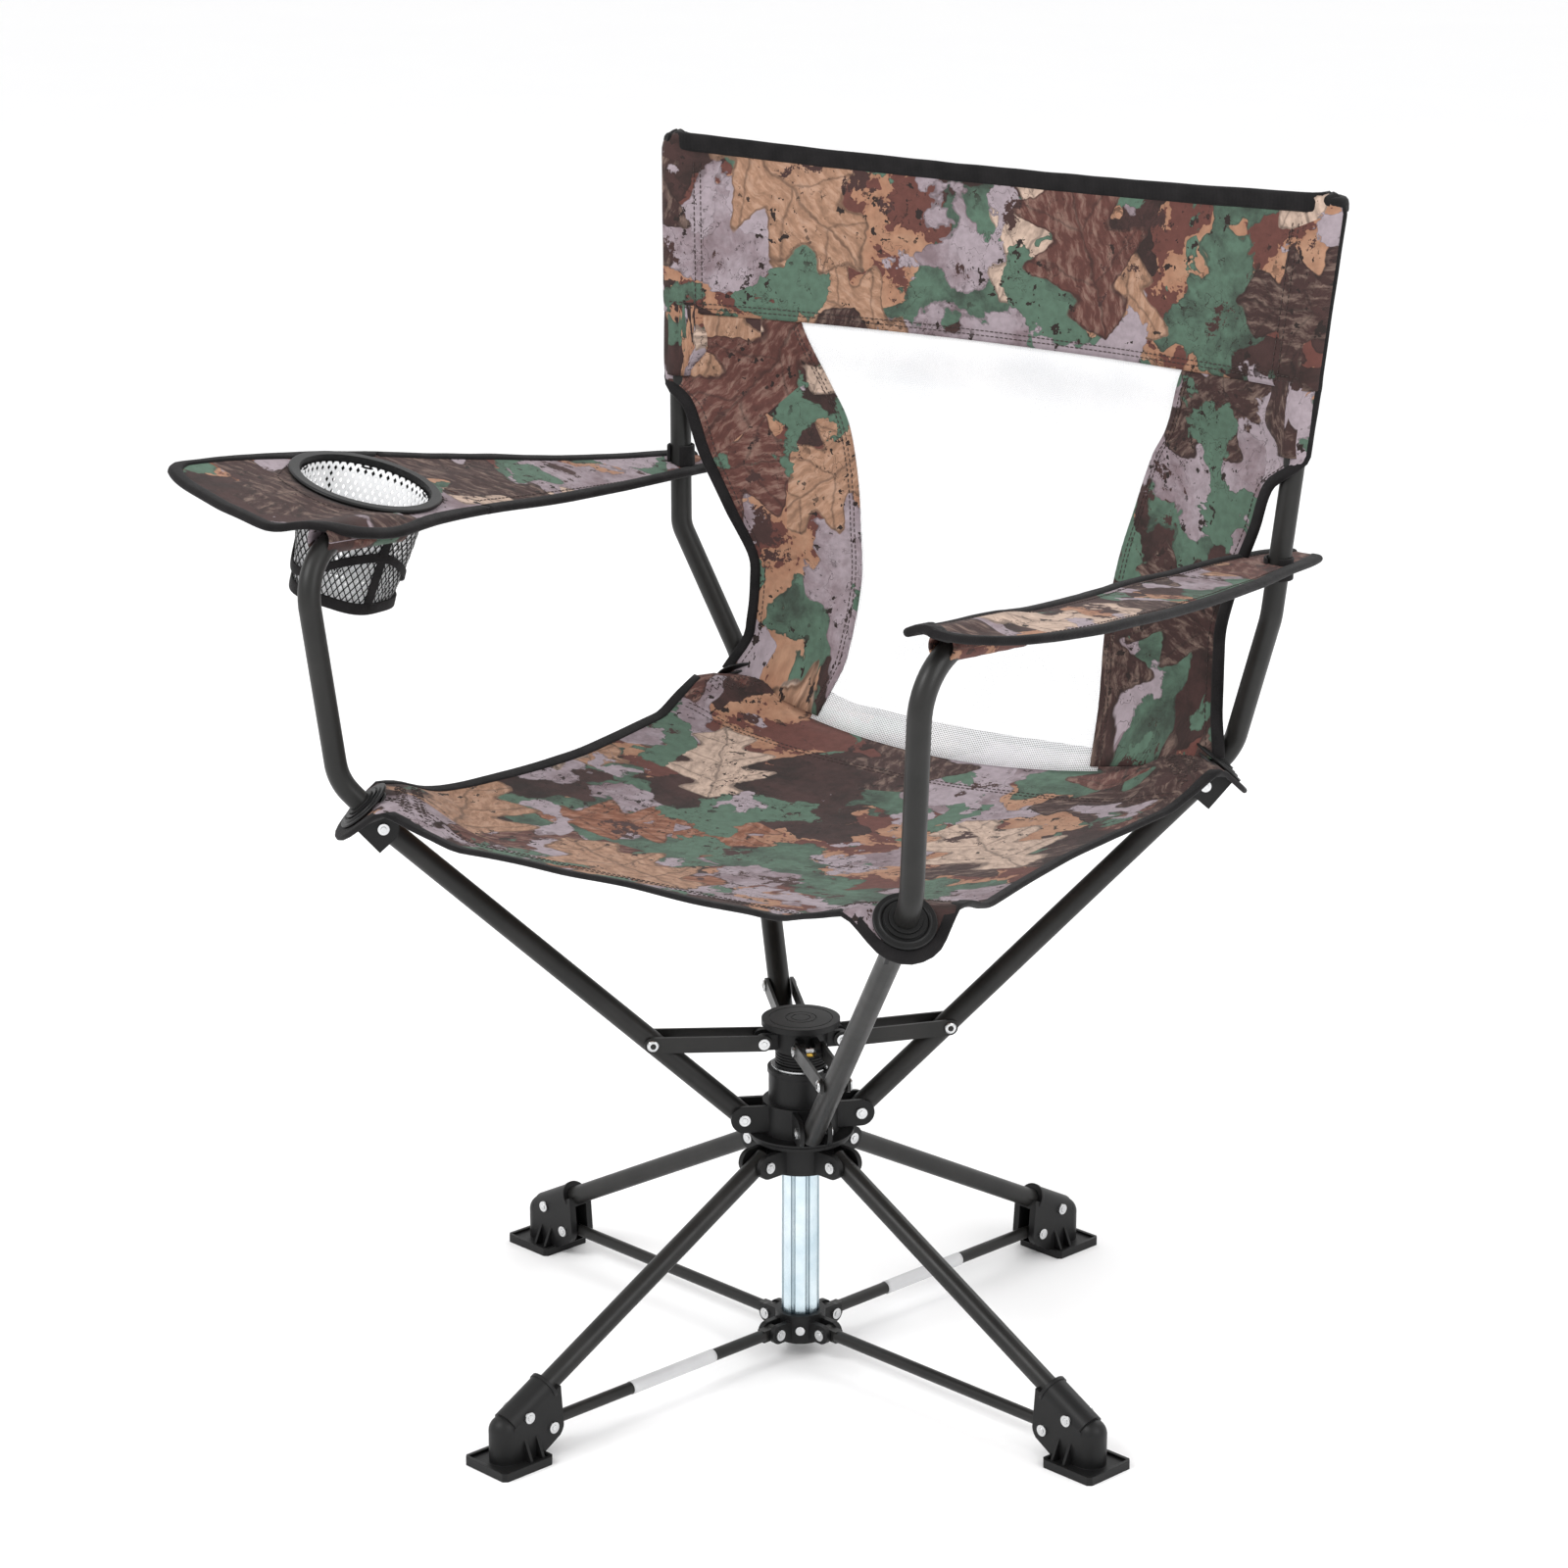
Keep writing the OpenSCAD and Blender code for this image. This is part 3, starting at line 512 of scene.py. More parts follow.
def patch_layer(s, where, under, scale, shift, least, ink, second, grain=0.6):
    """Printed blotches with a crisp edge, a thin dark outline and a watery inside."""
    value = s.noise(s.vector("ADD", where, shift), scale, 6, grain, "2D")
    mask = s.grey_ramp(value, least, least + 0.003)
    line = s.math("SUBTRACT", mask, s.grey_ramp(value, least + 0.005, least + 0.009))
    wash = s.noise(s.vector("ADD", where, shift), scale * 3.4, 5, 0.7, "2D")
    colour = s.mix(s.grey_ramp(wash, 0.4, 0.66), INK[ink], INK[second])
    out = s.mix(mask, under, colour)
    return s.mix(s.math("MULTIPLY", line, 0.45), out, INK["black"])


def camo():
    s = Shader("leaf_camouflage")
    where = s.flat()
    bend = s.noise(where, 14, 3, 0.55, "2D", "Color")
    bent = s.vector("ADD", where, s.vector("SCALE", s.vector("SUBTRACT", bend, (0.5, 0.5, 0.5)), scale=0.03))
    wash = s.noise(bent, 13, 5, 0.65, "2D")
    soft = s.mix(s.grey_ramp(wash, 0.3, 0.62), INK["rust"], INK["tan"])
    colour = s.mix(s.grey_ramp(wash, 0.478, 0.484), INK["red"], soft)
    colour = patch_layer(s, bent, colour, 5.0, (2.2, 8.1, 0.0), 0.505, "dark", "black", 0.5)
    colour = patch_layer(s, bent, colour, 6.0, (5.7, 3.2, 0.0), 0.55, "green", "deep", 0.5)
    colour = patch_layer(s, bent, colour, 6.5, (9.4, 6.6, 0.0), 0.555, "lilac", "mauve", 0.5)
    colour = leaf_layer(s, where, colour, 6.4, (7.9, 4.3, 0.0), 0.078,
                        ["red", "pale", "dark", "tan", "dark", "rust"], 0.8, 4)
    colour = patch_layer(s, bent, colour, 9.0, (12.9, 2.6, 0.0), 0.6, "green", "green", 0.55)
    colour = patch_layer(s, bent, colour, 9.5, (1.9, 13.6, 0.0), 0.61, "lilac", "lilac", 0.55)
    colour = leaf_layer(s, where, colour, 5.4, (3.1, 1.7, 0.0), 0.096,
                        ["tan", "dark", "pale", "dark", "red", "dark", "tan"], 0.62, 4)
    blot = s.noise(s.vector("ADD", bent, (5.3, 9.1, 0.0)), 15, 7, 0.74, "2D")
    colour = s.mix(s.grey_ramp(blot, 0.625, 0.63), colour, INK["dark"])
    speck = s.noise(where, 95, 3, 0.6, "2D")
    near = s.grey_ramp(s.noise(bent, 14, 2, 0.5, "2D"), 0.45, 0.56)
    colour = s.mix(s.math("MULTIPLY", s.grey_ramp(speck, 0.64, 0.655), near), colour, INK["black"])
    scribble = s.math("ABSOLUTE", s.math("SUBTRACT", s.noise(bent, 26, 4, 0.7, "2D"), 0.5))
    thin = s.math("MULTIPLY", s.grey_ramp(scribble, 0.008, 0.003),
                  s.grey_ramp(s.noise(where, 12, 2, 0.5, "2D"), 0.5, 0.58))
    colour = s.mix(s.math("MULTIPLY", thin, 0.75), colour, INK["black"])
    tone = s.noise(where, 130, 4, 0.6, "2D")
    colour = s.mix(s.math("MULTIPLY", s.grey_ramp(tone, 0.35, 0.7), 0.22), colour, INK["black"])
    height = weave_height(s, where, 0.0011)
    # Painted highlight: the colour is mixed slightly towards pale on the raised threads of the weave.
    colour = s.mix(s.math("MULTIPLY", height, 0.05), colour, INK["pale"])
    pucker = s.noise(where, 22, 3, 0.5, "2D")
    normal = s.bump(height, 0.3, 0.0003, s.bump(pucker, 0.25, 0.004))
    rough = s.math("MULTIPLY_ADD", tone, 0.15, 0.72)
    return s.finish(colour, rough, normal, Specular_IOR_Level=0.18, Sheen_Weight=0.05, Sheen_Roughness=0.45)


def binding_tape():
    s = Shader("binding_tape")
    where = s.flat()
    place = s.place()
    x, _, _ = s.parts(where)
    rib = s.math("SINE", s.math("MULTIPLY", x, 2 * math.pi / 0.0013))
    fuzz = s.noise(place, 700, 3, 0.6)
    wave = s.noise(place, 60, 3)
    # Painted shade: the colour is darker in the dips and lighter on the rises of the same wave noise that the
    # bump below raises.
    colour = s.mix(s.grey_ramp(wave, 0.3, 0.7), linear(15, 14, 15), linear(28, 26, 27))
    height = s.math("MULTIPLY_ADD", fuzz, 0.6, rib)
    return s.finish(colour, s.math("MULTIPLY_ADD", fuzz, 0.2, 0.66),
                    s.bump(height, 0.3, 0.00025, s.bump(wave, 0.3, 0.002)),
                    Specular_IOR_Level=0.15, Sheen_Weight=0.05, Sheen_Roughness=0.5)


def sewing_thread(name, colour_a, colour_b):
    s = Shader(name)
    where = s.place()
    x, y, z = s.parts(where)
    twist = s.math("SINE", s.math("MULTIPLY", s.math("ADD", s.math("ADD", x, y), z), 2 * math.pi / 0.0007))
    colour = s.mix(s.noise(where, 300, 2), colour_a, colour_b)
    return s.finish(colour, 0.6, s.bump(twist, 0.4, 0.0002), Specular_IOR_Level=0.35)


def open_mesh(name, pitch, hole, ink_a, ink_b, diamond):
    """Knitted netting: the holes are open to what is behind them."""
    s = Shader(name)
    where = s.flat()
    x, y, _ = s.parts(where)
    if diamond:
        first = s.math("ADD", x, s.math("MULTIPLY", y, 0.62))
        second = s.math("SUBTRACT", x, s.math("MULTIPLY", y, 0.62))
    else:
        first, second = x, y
    cells = []
    for value in (first, second):
        cells.append(s.math("PINGPONG", value, pitch / 2))
    nearest = s.math("MINIMUM", cells[0], cells[1])
    solid = s.grey_ramp(s.math("DIVIDE", nearest, pitch / 2), hole + 0.06, hole - 0.06)
    fold = s.noise(where, 14, 3, 0.5, "2D")
    # Painted shade: the colour is darker in the hollows and lighter on the crests of the same folds that the
    # bump below raises.
    colour = s.mix(s.grey_ramp(fold, 0.3, 0.7), ink_a, ink_b)
    thread = s.noise(where, 900, 2, 0.5, "2D")
    normal = s.bump(s.math("ADD", solid, s.math("MULTIPLY", thread, 0.3)), 0.3, 0.0003,
                    s.bump(fold, 0.35, 0.006))
    s.put(s.surface.inputs["Alpha"], solid)
    return s.finish(colour, 0.75, normal, Specular_IOR_Level=0.25, Sheen_Weight=0.1)


def plain_sleeve():
    s = Shader("strut_sleeve_film")
    where = s.place()
    cloud = s.noise(where, 40, 3)
    colour = s.mix(cloud, linear(186, 186, 188), linear(204, 204, 205))
    return s.finish(colour, s.math("MULTIPLY_ADD", cloud, 0.2, 0.3),
                    s.bump(s.noise(where, 150, 3), 0.2, 0.0005),
                    Coat_Weight=0.3)


def brass_plate():
    s = Shader("brass_plate")
    where = s.place()
    grain = s.noise(s.vector("MULTIPLY", where, (40.0, 40.0, 900.0)), 1, 3)
    colour = s.mix(grain, linear(176, 138, 52), linear(214, 178, 84))
    return s.finish(colour, s.math("MULTIPLY_ADD", grain, 0.2, 0.28), s.bump(grain, 0.1, 0.0002),
                    Metallic=0.85)


def studio_floor():
    s = Shader("studio_floor")
    where = s.place()
    colour = s.mix(s.noise(where, 3, 4), linear(252, 252, 253), linear(254, 254, 254))
    return s.finish(colour, s.math("MULTIPLY_ADD", s.noise(where, 20, 3), 0.1, 0.6),
                    s.bump(s.noise(where, 400, 2), 0.05, 0.0005), Specular_IOR_Level=0.15)


COAT = powder_coat()
PLASTIC = moulded_plastic("black_moulding", 14, 0.36)
RUBBER = moulded_plastic("black_grommet", 14, 0.28)
STEEL = plated_steel()
ZINC = zinc_post()
NYLON = nylon()
CAMO = camo()
TAPE = binding_tape()
THREAD = sewing_thread("dark_thread", linear(44, 36, 36), linear(74, 60, 56))
WINDOW = open_mesh("white_window_mesh", 0.0016, 0.27, linear(236, 237, 239), linear(250, 250, 251), False)
NET = open_mesh("black_pocket_net", 0.0062, 0.19, linear(14, 14, 15), linear(30, 30, 31), True)
LINING = open_mesh("white_pocket_net", 0.0062, 0.5, linear(214, 215, 216), linear(238, 238, 239), True)
SLEEVE = plain_sleeve()
BRASS = brass_plate()
FLOOR = studio_floor()


def cad_material(name):
    """Which finish a CAD node wears."""
    if name.startswith(("leg_", "strut_", "seat_tube", "links_", "arm_post", "back_pole")):
        return COAT
    if "rivet" in name or "fasteners" in name or name == "retaining_ring":
        return STEEL
    if name == "centre_post":
        return ZINC
    if name == "thrust_washer":
        return NYLON
    if name.startswith("grommet") or name == "cup_ring":
        return RUBBER
    return PLASTIC


for node_name, node in frame["nodes"].items():
    for place in range(max(1, len(node.material_slots))):
        if not node.material_slots:
            node.data.materials.append(cad_material(node_name))
        node.material_slots[place].material = cad_material(node_name)


# ---------- Frame sizes that the cloth follows ----------

CORNER_R = 330.78
CORNER_Z = 464.76
SOCKET_LEAN = math.radians(48)
CORNER_AZIMUTH = {"front_left": 223, "front_right": 317, "rear_right": 47, "rear_left": 133}


def polar(azimuth, r, z):
    a = math.radians(azimuth)
    return arr(r * math.cos(a), r * math.sin(a), z)


# ---------- Seat cloth ----------

CLOTH_R = CORNER_R + 19 * math.cos(SOCKET_LEAN)
CLOTH_Z = CORNER_Z + 19 * math.sin(SOCKET_LEAN)
CLOTH_T = 2.0


RING_EDGE = 31.5      # from a corner ring's middle to the cloth's edge round it
TENT_TURN = math.radians(61)
CORNERS = ["front_left", "front_right", "rear_right", "rear_left"]
SEAT_BOWS = [34, 34, 13, 34]


def round_ring(corner, turn):
    """A point of the seat's edge round a corner ring, and which way the edge runs there."""
    azimuth = CORNER_AZIMUTH[corner]
    out, middle = polar(azimuth, 1, 0), polar(azimuth, CLOTH_R, 0)
    side = arr(-out[1], out[0], 0)
    lean = math.sin(SOCKET_LEAN)
    place = middle + out * RING_EDGE * math.cos(turn) * lean + side * RING_EDGE * math.sin(turn)
    way = unit(side * math.cos(turn) - out * math.sin(turn) * lean)
    return place, way


def seat_edge(k):
    """The edge from one corner's outermost point to the next one's, bowed in between."""
    first, second = CORNERS[k], CORNERS[(k + 1) % 4]
    start, leave = round_ring(first, TENT_TURN)
    end, arrive = round_ring(second, -TENT_TURN)
    chord = unit(end - start)
    inward = arr(-chord[1], chord[0], 0)
    pull = 8 * SEAT_BOWS[k] / max(np.dot(leave - arrive, inward), 0.05)
    pull = min(pull, 1.5 * np.linalg.norm(end - start))
    path = [round_ring(first, t)[0] for t in np.linspace(0, TENT_TURN, 14)[:-1]]
    for t in np.linspace(0, 1, 60):
        path.append(start * (1 + 2 * t) * (1 - t) ** 2 + leave * pull * t * (1 - t) ** 2
                    + end * t * t * (3 - 2 * t) - arrive * pull * t * t * (1 - t))
    path += [round_ring(second, t)[0] for t in np.linspace(-TENT_TURN, 0, 14)[1:]]
    return np.array(resample(path, 241))


FRONT_EDGE, RIGHT_EDGE, REAR_EDGE, LEFT_EDGE = [seat_edge(k) for k in range(4)]
REAR_EDGE, LEFT_EDGE = REAR_EDGE[::-1], LEFT_EDGE[::-1]


def along(edge, t):
    place = min(max(t, 0.0), 1.0) * (len(edge) - 1)
    k = min(int(place), len(edge) - 2)
    return edge[k] + (edge[k + 1] - edge[k]) * (place - k)


def seat_shape(u, v):
    s, t = (u + 1) / 2, (v + 1) / 2
    p = (along(FRONT_EDGE, s) * (1 - t) + along(REAR_EDGE, s) * t
         + along(LEFT_EDGE, t) * (1 - s) + along(RIGHT_EDGE, t) * s
         - FRONT_EDGE[0] * (1 - s) * (1 - t) - FRONT_EDGE[-1] * s * (1 - t)
         - REAR_EDGE[0] * (1 - s) * t - REAR_EDGE[-1] * s * t)
    x, y = p[0], p[1]
    sag = 476 - 10 * (1 - u * u) - 10 * (1 - v * v) - 20 * (1 - u * u) * (1 - v * v)
    corner = ("front_" if y < 0 else "rear_") + ("left" if x < 0 else "right")
    out = polar(CORNER_AZIMUTH[corner], 1, 0)
    ahead = x * out[0] + y * out[1] - CLOTH_R
    beside = y * out[0] - x * out[1]
    far = math.hypot(ahead / math.sin(SOCKET_LEAN), beside)
    weight = 1 - smooth((far - 30) / 95)
    plane = CLOTH_Z - max(ahead, -9) / math.tan(SOCKET_LEAN)
    z = sag + weight * (plane - sag)
    return arr(x, y, z), far


def seat_surface(a, b):
    """a and b are places across and along the cloth, from -1 to 1."""
    u, v = min(max(a, -1), 1), min(max(b, -1), 1)
    p, far = seat_shape(u, v)
    pull = math.exp(-((far - 75) / 42) ** 2)
    ray = math.atan2(abs(p[1]), abs(p[0]))
    crease = 0.8 * pull * math.sin(ray * 46 + 0.6 * u)
    ripple = 0.9 * noise.noise(Vector((p[0] * 0.016, p[1] * 0.016, 3.1)))
    front = 0.9 * math.exp(-((v + 1) / 0.12) ** 2) * math.sin(p[0] * 0.055 + 0.7)
    return p + arr(0, 0, crease + ripple + front * (1 - u * u) - CLOTH_T / 2)


def seat_flat(a, b):
    p = seat_surface(a, b)
    return (p[0], p[1])


seat_cloth = cloth("seat_cloth", seat_surface, seat_flat, (-1, 1), (-1, 1), (72, 72), CLOTH_T, CAMO,
                   "seat")
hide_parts("seat_sling")


def around_seat(steps):
    """The seat's edge, corner by corner, as places across and along the cloth."""
    places = []
    for k in range(steps):
        places.append((-1 + 2 * k / steps, -1))
    for k in range(steps):
        places.append((1, -1 + 2 * k / steps))
    for k in range(steps):
        places.append((1 - 2 * k / steps, 1))
    for k in range(steps):
        places.append((-1, 1 - 2 * k / steps))
    return places


edge_path, edge_in, edge_up = [], [], []
for a, b in around_seat(64):
    p = seat_surface(a, b)
    inner = seat_surface(a * 0.93, b * 0.93)
    up = normal_of(seat_surface, a * 0.97, b * 0.97)
    edge_path.append(p)
    edge_in.append(unit((inner - p) - up * np.dot(inner - p, up)))
    edge_up.append(up)
seat_tape = tape("seat_binding", edge_path, edge_in, edge_up, 12, 4.4, "seat", closed=True)


def line_on(surface, places, lift, flip=1.0):
    """A path over a surface and its normals, a little above it."""
    path, normals = [], []
    for a, b in places:
        n = normal_of(surface, a, b) * flip
        path.append(surface(a, b) + n * lift)
        normals.append(n)
    return path, normals


seam_runs = []
for v in (-0.885, -0.862):
    seam_runs.append(line_on(seat_surface, [(u, v)
                                            for u in np.linspace(-0.9, 0.9, 60)], 1.3))
for v in (0.60, 0.62):
    seam_runs.append(line_on(seat_surface, [(u, v)
                                            for u in np.linspace(-0.93, 0.93, 60)], 1.3))
for su in (-1, 1):
    for sv in (-1, 1):
        for reach in (0.66, 0.72):
            zig = []
            for k in range(31):
                t = k / 30
                wave = 0.012 * (1 if k % 2 else -1)
                u = su * (reach + (0.93 - reach) * t)
                v = sv * (0.93 - (0.93 - reach) * t)
                zig.append((u + su * wave, v + sv * wave))
            seam_runs.append(line_on(seat_surface, zig, 1.3))
seat_seams = stitches("seat_stitching", seam_runs, "seat")

SEAT_PARTS = [seat_cloth, seat_tape, seat_seams]


def follow_corners(piece):
    """The seat cloth is drawn in and up by its four corners as the frame folds."""
    corners = {"corner_front_left": (-1, -1), "corner_front_right": (1, -1),
               "corner_rear_left": (-1, 1), "corner_rear_right": (1, 1)}
    for body, (sx, sy) in corners.items():
        group = piece.vertex_groups.new(name=body)
        for vertex in piece.data.vertices:
            x = min(max(vertex.co.x / MM / 255, -1), 1)
            y = min(max((vertex.co.y / MM - 10) / 255, -1), 1)
            group.add([vertex.index], (1 + sx * x) * (1 + sy * y) / 4, "REPLACE")
        hook = piece.modifiers.new("follow_" + body, "HOOK")
        hook.object = frame["bodies"][body]
        hook.vertex_group = body
        hook.falloff_type = "NONE"
        hook.strength = 1.0


# ---------- Back cloth ----------

def pole_at(z):
    t = (z - 612) / (938 - 612)
    return 288 + 24 * t, 236 + 32 * t


def station_at_pole(z, belly, rise):
    x, y = pole_at(z)
    return [z, x + 12.3, y - 12.4, belly + 12.4, rise]


SEAM_TOP = 797
BACK_TOP = 945
STATIONS = np.array([
    [489, 246, 240, -28, 30], [522, 233, 258, -12, 12], [575, 231, 262, 2, 4],
    [630, 249, 249, 32, 0], [680, 271, 240, 56, 0], [715, 283, 237, 64, 0],
    station_at_pole(740, 50, 0), station_at_pole(SEAM_TOP, 26, 0),
    station_at_pole(870, 24, 4), station_at_pole(BACK_TOP, 22, 10)], float)
WINDOW_HALF = [138, 128, 124, 130, 141, 152, 166, 189]
ROWS = np.array([0, 24, 77, 133, 184, 219, 244, 301, 374, 445], float)


TOP_ROUND = 15


def station(h):
    """Height, half width, depth, belly and rise at h up the cloth. The top corners are rounded."""
    z, half, y, belly, rise = [curve_at(ROWS, STATIONS[:, k], h) for k in range(5)]
    over = min(max((h - ROWS[9] + TOP_ROUND) / TOP_ROUND, 0), 1)
    return z, half - TOP_ROUND * (1 - math.sqrt(1 - over * over)), y, belly, rise


def window_half(h):
    return curve_at(ROWS[:8], np.array(WINDOW_HALF, float), min(h, ROWS[7]))


def back_surface(x, h):
    """The back's middle surface. x is from the centre line and h up the cloth from the seat seam."""
    z, half, y, belly, rise = station(h)
    q = x / half
    bow = 1 - q * q
    ripple = 1.3 * noise.noise(Vector((x * 0.012, h * 0.02, 7.7)))
    edge = smooth((abs(q) - 0.55) / 0.45)
    wrapped = smooth((h - 230) / 16)
    c = min(max((12 - half + abs(x)) / 12, 0), 0.999)
    y += wrapped * 12.4 * (1 - math.sqrt(1 - c * c))
    band_dip = 1.1 * math.exp(-((h - ROWS[7]) / 5) ** 2)
    return arr(x, y + belly * bow + ripple * (1 - 0.6 * edge) + band_dip, z - rise * bow)


NEAR_EDGE = [12.5, 10, 7.5, 5, 3, 1.5, 0.5, 0]


def side_panel(name, side):
    def surface(a, h):
        inner, outer = window_half(h) - 3, station(h)[1]
        return back_surface(side * (inner + (outer - inner) * a), h)

    def flat(a, h):
        p = surface(a, h)
        return (p[0] + 900, h + 300)

    places = list(np.linspace(0, 0.88, 18)) + [1 - d / 130 for d in NEAR_EDGE]
    piece = cloth(name, surface, flat, places, (0, ROWS[7] + 3), (20, 72), CLOTH_T, CAMO,
                  "corner_rear_right")
    return piece, surface


left_panel, left_surface = side_panel("back_panel_left", -1)
right_panel, right_surface = side_panel("back_panel_right", 1)


def band_surface(a, h):
    return back_surface(a * station(h)[1], h) + arr(0, -1.2, 0)


def band_flat(a, h):
    p = band_surface(a, h)
    return (p[0] + 450, h + 700)


BAND_PLACES = ([d / 312 - 1 for d in NEAR_EDGE[::-1]] + list(np.linspace(-0.945, 0.945, 80))
               + [1 - d / 312 for d in NEAR_EDGE])
band = cloth("back_band", band_surface, band_flat, BAND_PLACES, (ROWS[7] - 3, ROWS[9]), (90, 34),
             CLOTH_T + 0.6,
             CAMO, "corner_rear_right")
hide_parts("back_panel")


def window_surface(a, h):
    p = back_surface(a * (window_half(h) + 3), h)
    fold = math.exp(-((h - 120 - 60 * a) / 26) ** 2) - 0.6 * math.exp(-((h - 190 + 90 * a) / 22) ** 2)
    return p + arr(0, 1.6 + 1.5 * fold * (1 - a * a), 0)


ARC_ROWS = np.linspace(-4, ROWS[9] + 4, 240)
ARC = distances([back_surface(0, h) for h in ARC_ROWS])


def window_flat(a, h):
    return (a * (window_half(h) + 3), float(np.interp(h, ARC_ROWS, ARC)))


window = cloth("back_window", window_surface, window_flat, (-1, 1), (-2, ROWS[7] + 4), (48, 60), 0.7, WINDOW,
               "corner_rear_right")
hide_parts("mesh_window")


def back_binding():
    """One tape up the left edge, over the rounded top corners and down the right edge."""
    places = [(-1, h) for h in np.linspace(0, ROWS[9] - TOP_ROUND, 90)]
    bend = [ROWS[9] - TOP_ROUND * (1 - math.sin(t)) for t in np.linspace(0.1, math.pi / 2, 9)]
    places += [(-1, h) for h in bend]
    places += [(a, ROWS[9]) for a in np.linspace(-0.99, 0.99, 90)]
    places += [(1, h) for h in bend[::-1]]
    places += [(1, h) for h in np.linspace(ROWS[9] - TOP_ROUND, 0, 90)]
    path = [back_surface(a * station(h)[1], h) + arr(0, -0.8, 0) for a, h in places]
    into, ups, widths = [], [], []
    for k, (a, h) in enumerate(places):
        ahead = unit(path[min(k + 1, len(path) - 1)] - path[max(k - 1, 0)])
        half = station(min(h, ROWS[9] - 2))[1]
        inner = back_surface(a * (half - 9), min(h, ROWS[9] - 2))
        outer = back_surface(a * half, min(h, ROWS[9] - 2))
        below = back_surface(a * (half - 5), min(h, ROWS[9] - 2) - 12)
        up = unit(np.cross(ahead, unit((inner if abs(a) == 1 else below) - outer)))
        if up[1] > 0:
            up = -up
        inward = np.cross(up, ahead)
        if np.dot(inward, back_surface(a * half * 0.7, min(h, 380)) - path[k]) < 0:
            inward = -inward
        into.append(unit(inward))
        ups.append(up)
        top = smooth((h - ROWS[9] + 40) / 40)
        widths.append(10.5 + 5 * top)
    return tape("back_binding", path, into, ups, widths, 5.4, "corner_rear_right", out=2.2, wave=0.5)


BACK_PARTS = [left_panel, right_panel, band, window, back_binding()]

back_runs = []
for h in (ROWS[7] + 2.5, ROWS[7] + 6.5):
    back_runs.append(line_on(band_surface, [(a, h) for a in np.linspace(-0.97, 0.97, 90)], 1.7))
for side in (-1, 1):
    for inward in (34, 40):
        back_runs.append(line_on(band_surface, [
            (side * (1 - inward / station(h)[1]), h)
            for h in np.linspace(ROWS[7] + 2, ROWS[9] - 16, 40)], 1.7))
    for inset in (5, 8.5):
        panel = left_surface if side < 0 else right_surface
        places = []
        for h in np.linspace(4, ROWS[7] - 3, 60):
            wide = station(h)[1] - window_half(h) + 3
            places.append((inset / wide, h))
        back_runs.append(line_on(panel, places, 1.3, -side * -1.0))
    for inset in (13,):
        panel = left_surface if side < 0 else right_surface
        places = []
        for h in np.linspace(6, ROWS[7] - 4, 80):
            wide = station(h)[1] - window_half(h) + 3
            places.append((1 - inset / wide, h))
        back_runs.append(line_on(panel, places, 1.3, -side * -1.0))
BACK_PARTS.append(stitches("back_stitching", back_runs, "corner_rear_right"))


# ---------- Pole sleeves ----------

def pole_sleeve(label, side):
    """The band's end wraps the pole: a round tube drawn out to a flat lip on the inner side."""
    points, faces, flat = [], [], []
    low, high, rings = 741, 943, 40
    arc = [math.radians(t) for t in np.linspace(-118, 118, 27)]
    for k in range(rings + 1):
        z = low + (high - low) * k / rings
        x, y = pole_at(z)
        cap = 1 - 0.2 * smooth((z - 936) / 7)
        puff = 1 + 0.03 * noise.noise(Vector((side, z * 0.03, 1.0)))
        ring = [(11.6 * cap * puff * math.cos(t), 11.6 * cap * puff * math.sin(t)) for t in arc]
        lip = smooth((z - 742) / 26)
        ring += [(-12 - 10 * lip, 4.5), (-14 - 16 * lip, 1.2), (-14 - 16 * lip, -2.2), (-12 - 10 * lip, -6.5)]
        for j, (dx, dy) in enumerate(ring):
            points.append(arr(side * (x + dx), y + dy, z))
            round_it = 11.6 * arc[min(j, 26)] + (0, 12, 17, 21, 27)[max(0, j - 26)]
            flat.append((side * (x + round_it) + 450, z - 797 + 700 + ROWS[7]))
    n = 31
    for k in range(rings):
        for j in range(n):
            i = (j + 1) % n
            quad = (k * n + j, k * n + i, k * n + n + i, k * n + n + j)
            faces.append(quad if side > 0 else quad[::-1])
    bottom = tuple(range(n - 1, -1, -1))
    top = tuple(rings * n + j for j in range(n))
    faces.append(bottom if side > 0 else bottom[::-1])
    faces.append(top if side > 0 else top[::-1])
    body = "corner_rear_" + label
    sleeve = make("pole_sleeve_" + label, points, faces, CAMO, body, flat)
    x, y = pole_at(937)
    points, faces = [], []
    profile = [(12.4, 0), (12.9, 1.5), (12.9, 6), (12.2, 9), (10.5, 11), (7, 12.2), (0.6, 12.6)]
    for r, rise in profile:
        for j in range(32):
            t = 2 * math.pi * j / 32
            points.append(arr(side * x + r * math.cos(t), y + 0.5 + r * math.sin(t), 932 + rise))
    for k in range(len(profile) - 1):
        for j in range(32):
            i = (j + 1) % 32
            faces.append((k * 32 + j, k * 32 + i, k * 32 + 32 + i, k * 32 + 32 + j))
    faces.append(tuple(range(31, -1, -1)))
    faces.append(tuple((len(profile) - 1) * 32 + j for j in range(32)))
    flat = [(0.4 * i, 0.3 * i) for i in range(len(points))]
    cap = make("pole_cap_" + label, points, faces, TAPE, body, flat)
    return [sleeve, cap]


pole_sleeve("left", -1)
pole_sleeve("right", 1)


# ---------- Arm cloths ----------

def rotated(about_x, about_y, p):
    """Turn about X and then about Y, in degrees."""
    a, b = math.radians(about_x), math.radians(about_y)
    x, y, z = p
    y, z = y * math.cos(a) - z * math.sin(a), y * math.sin(a) + z * math.cos(a)
    x, z = x * math.cos(b) + z * math.sin(b), -x * math.sin(b) + z * math.cos(b)
    return arr(x, y, z)


def on_left(p):
    return arr(-287, -265, 697) + rotated(-3.84, 14.84, p)


def on_right(p):
    return arr(284, -265, 700) + rotated(-5.14, 0, p)


CUP_AT = arr(-58, 151)


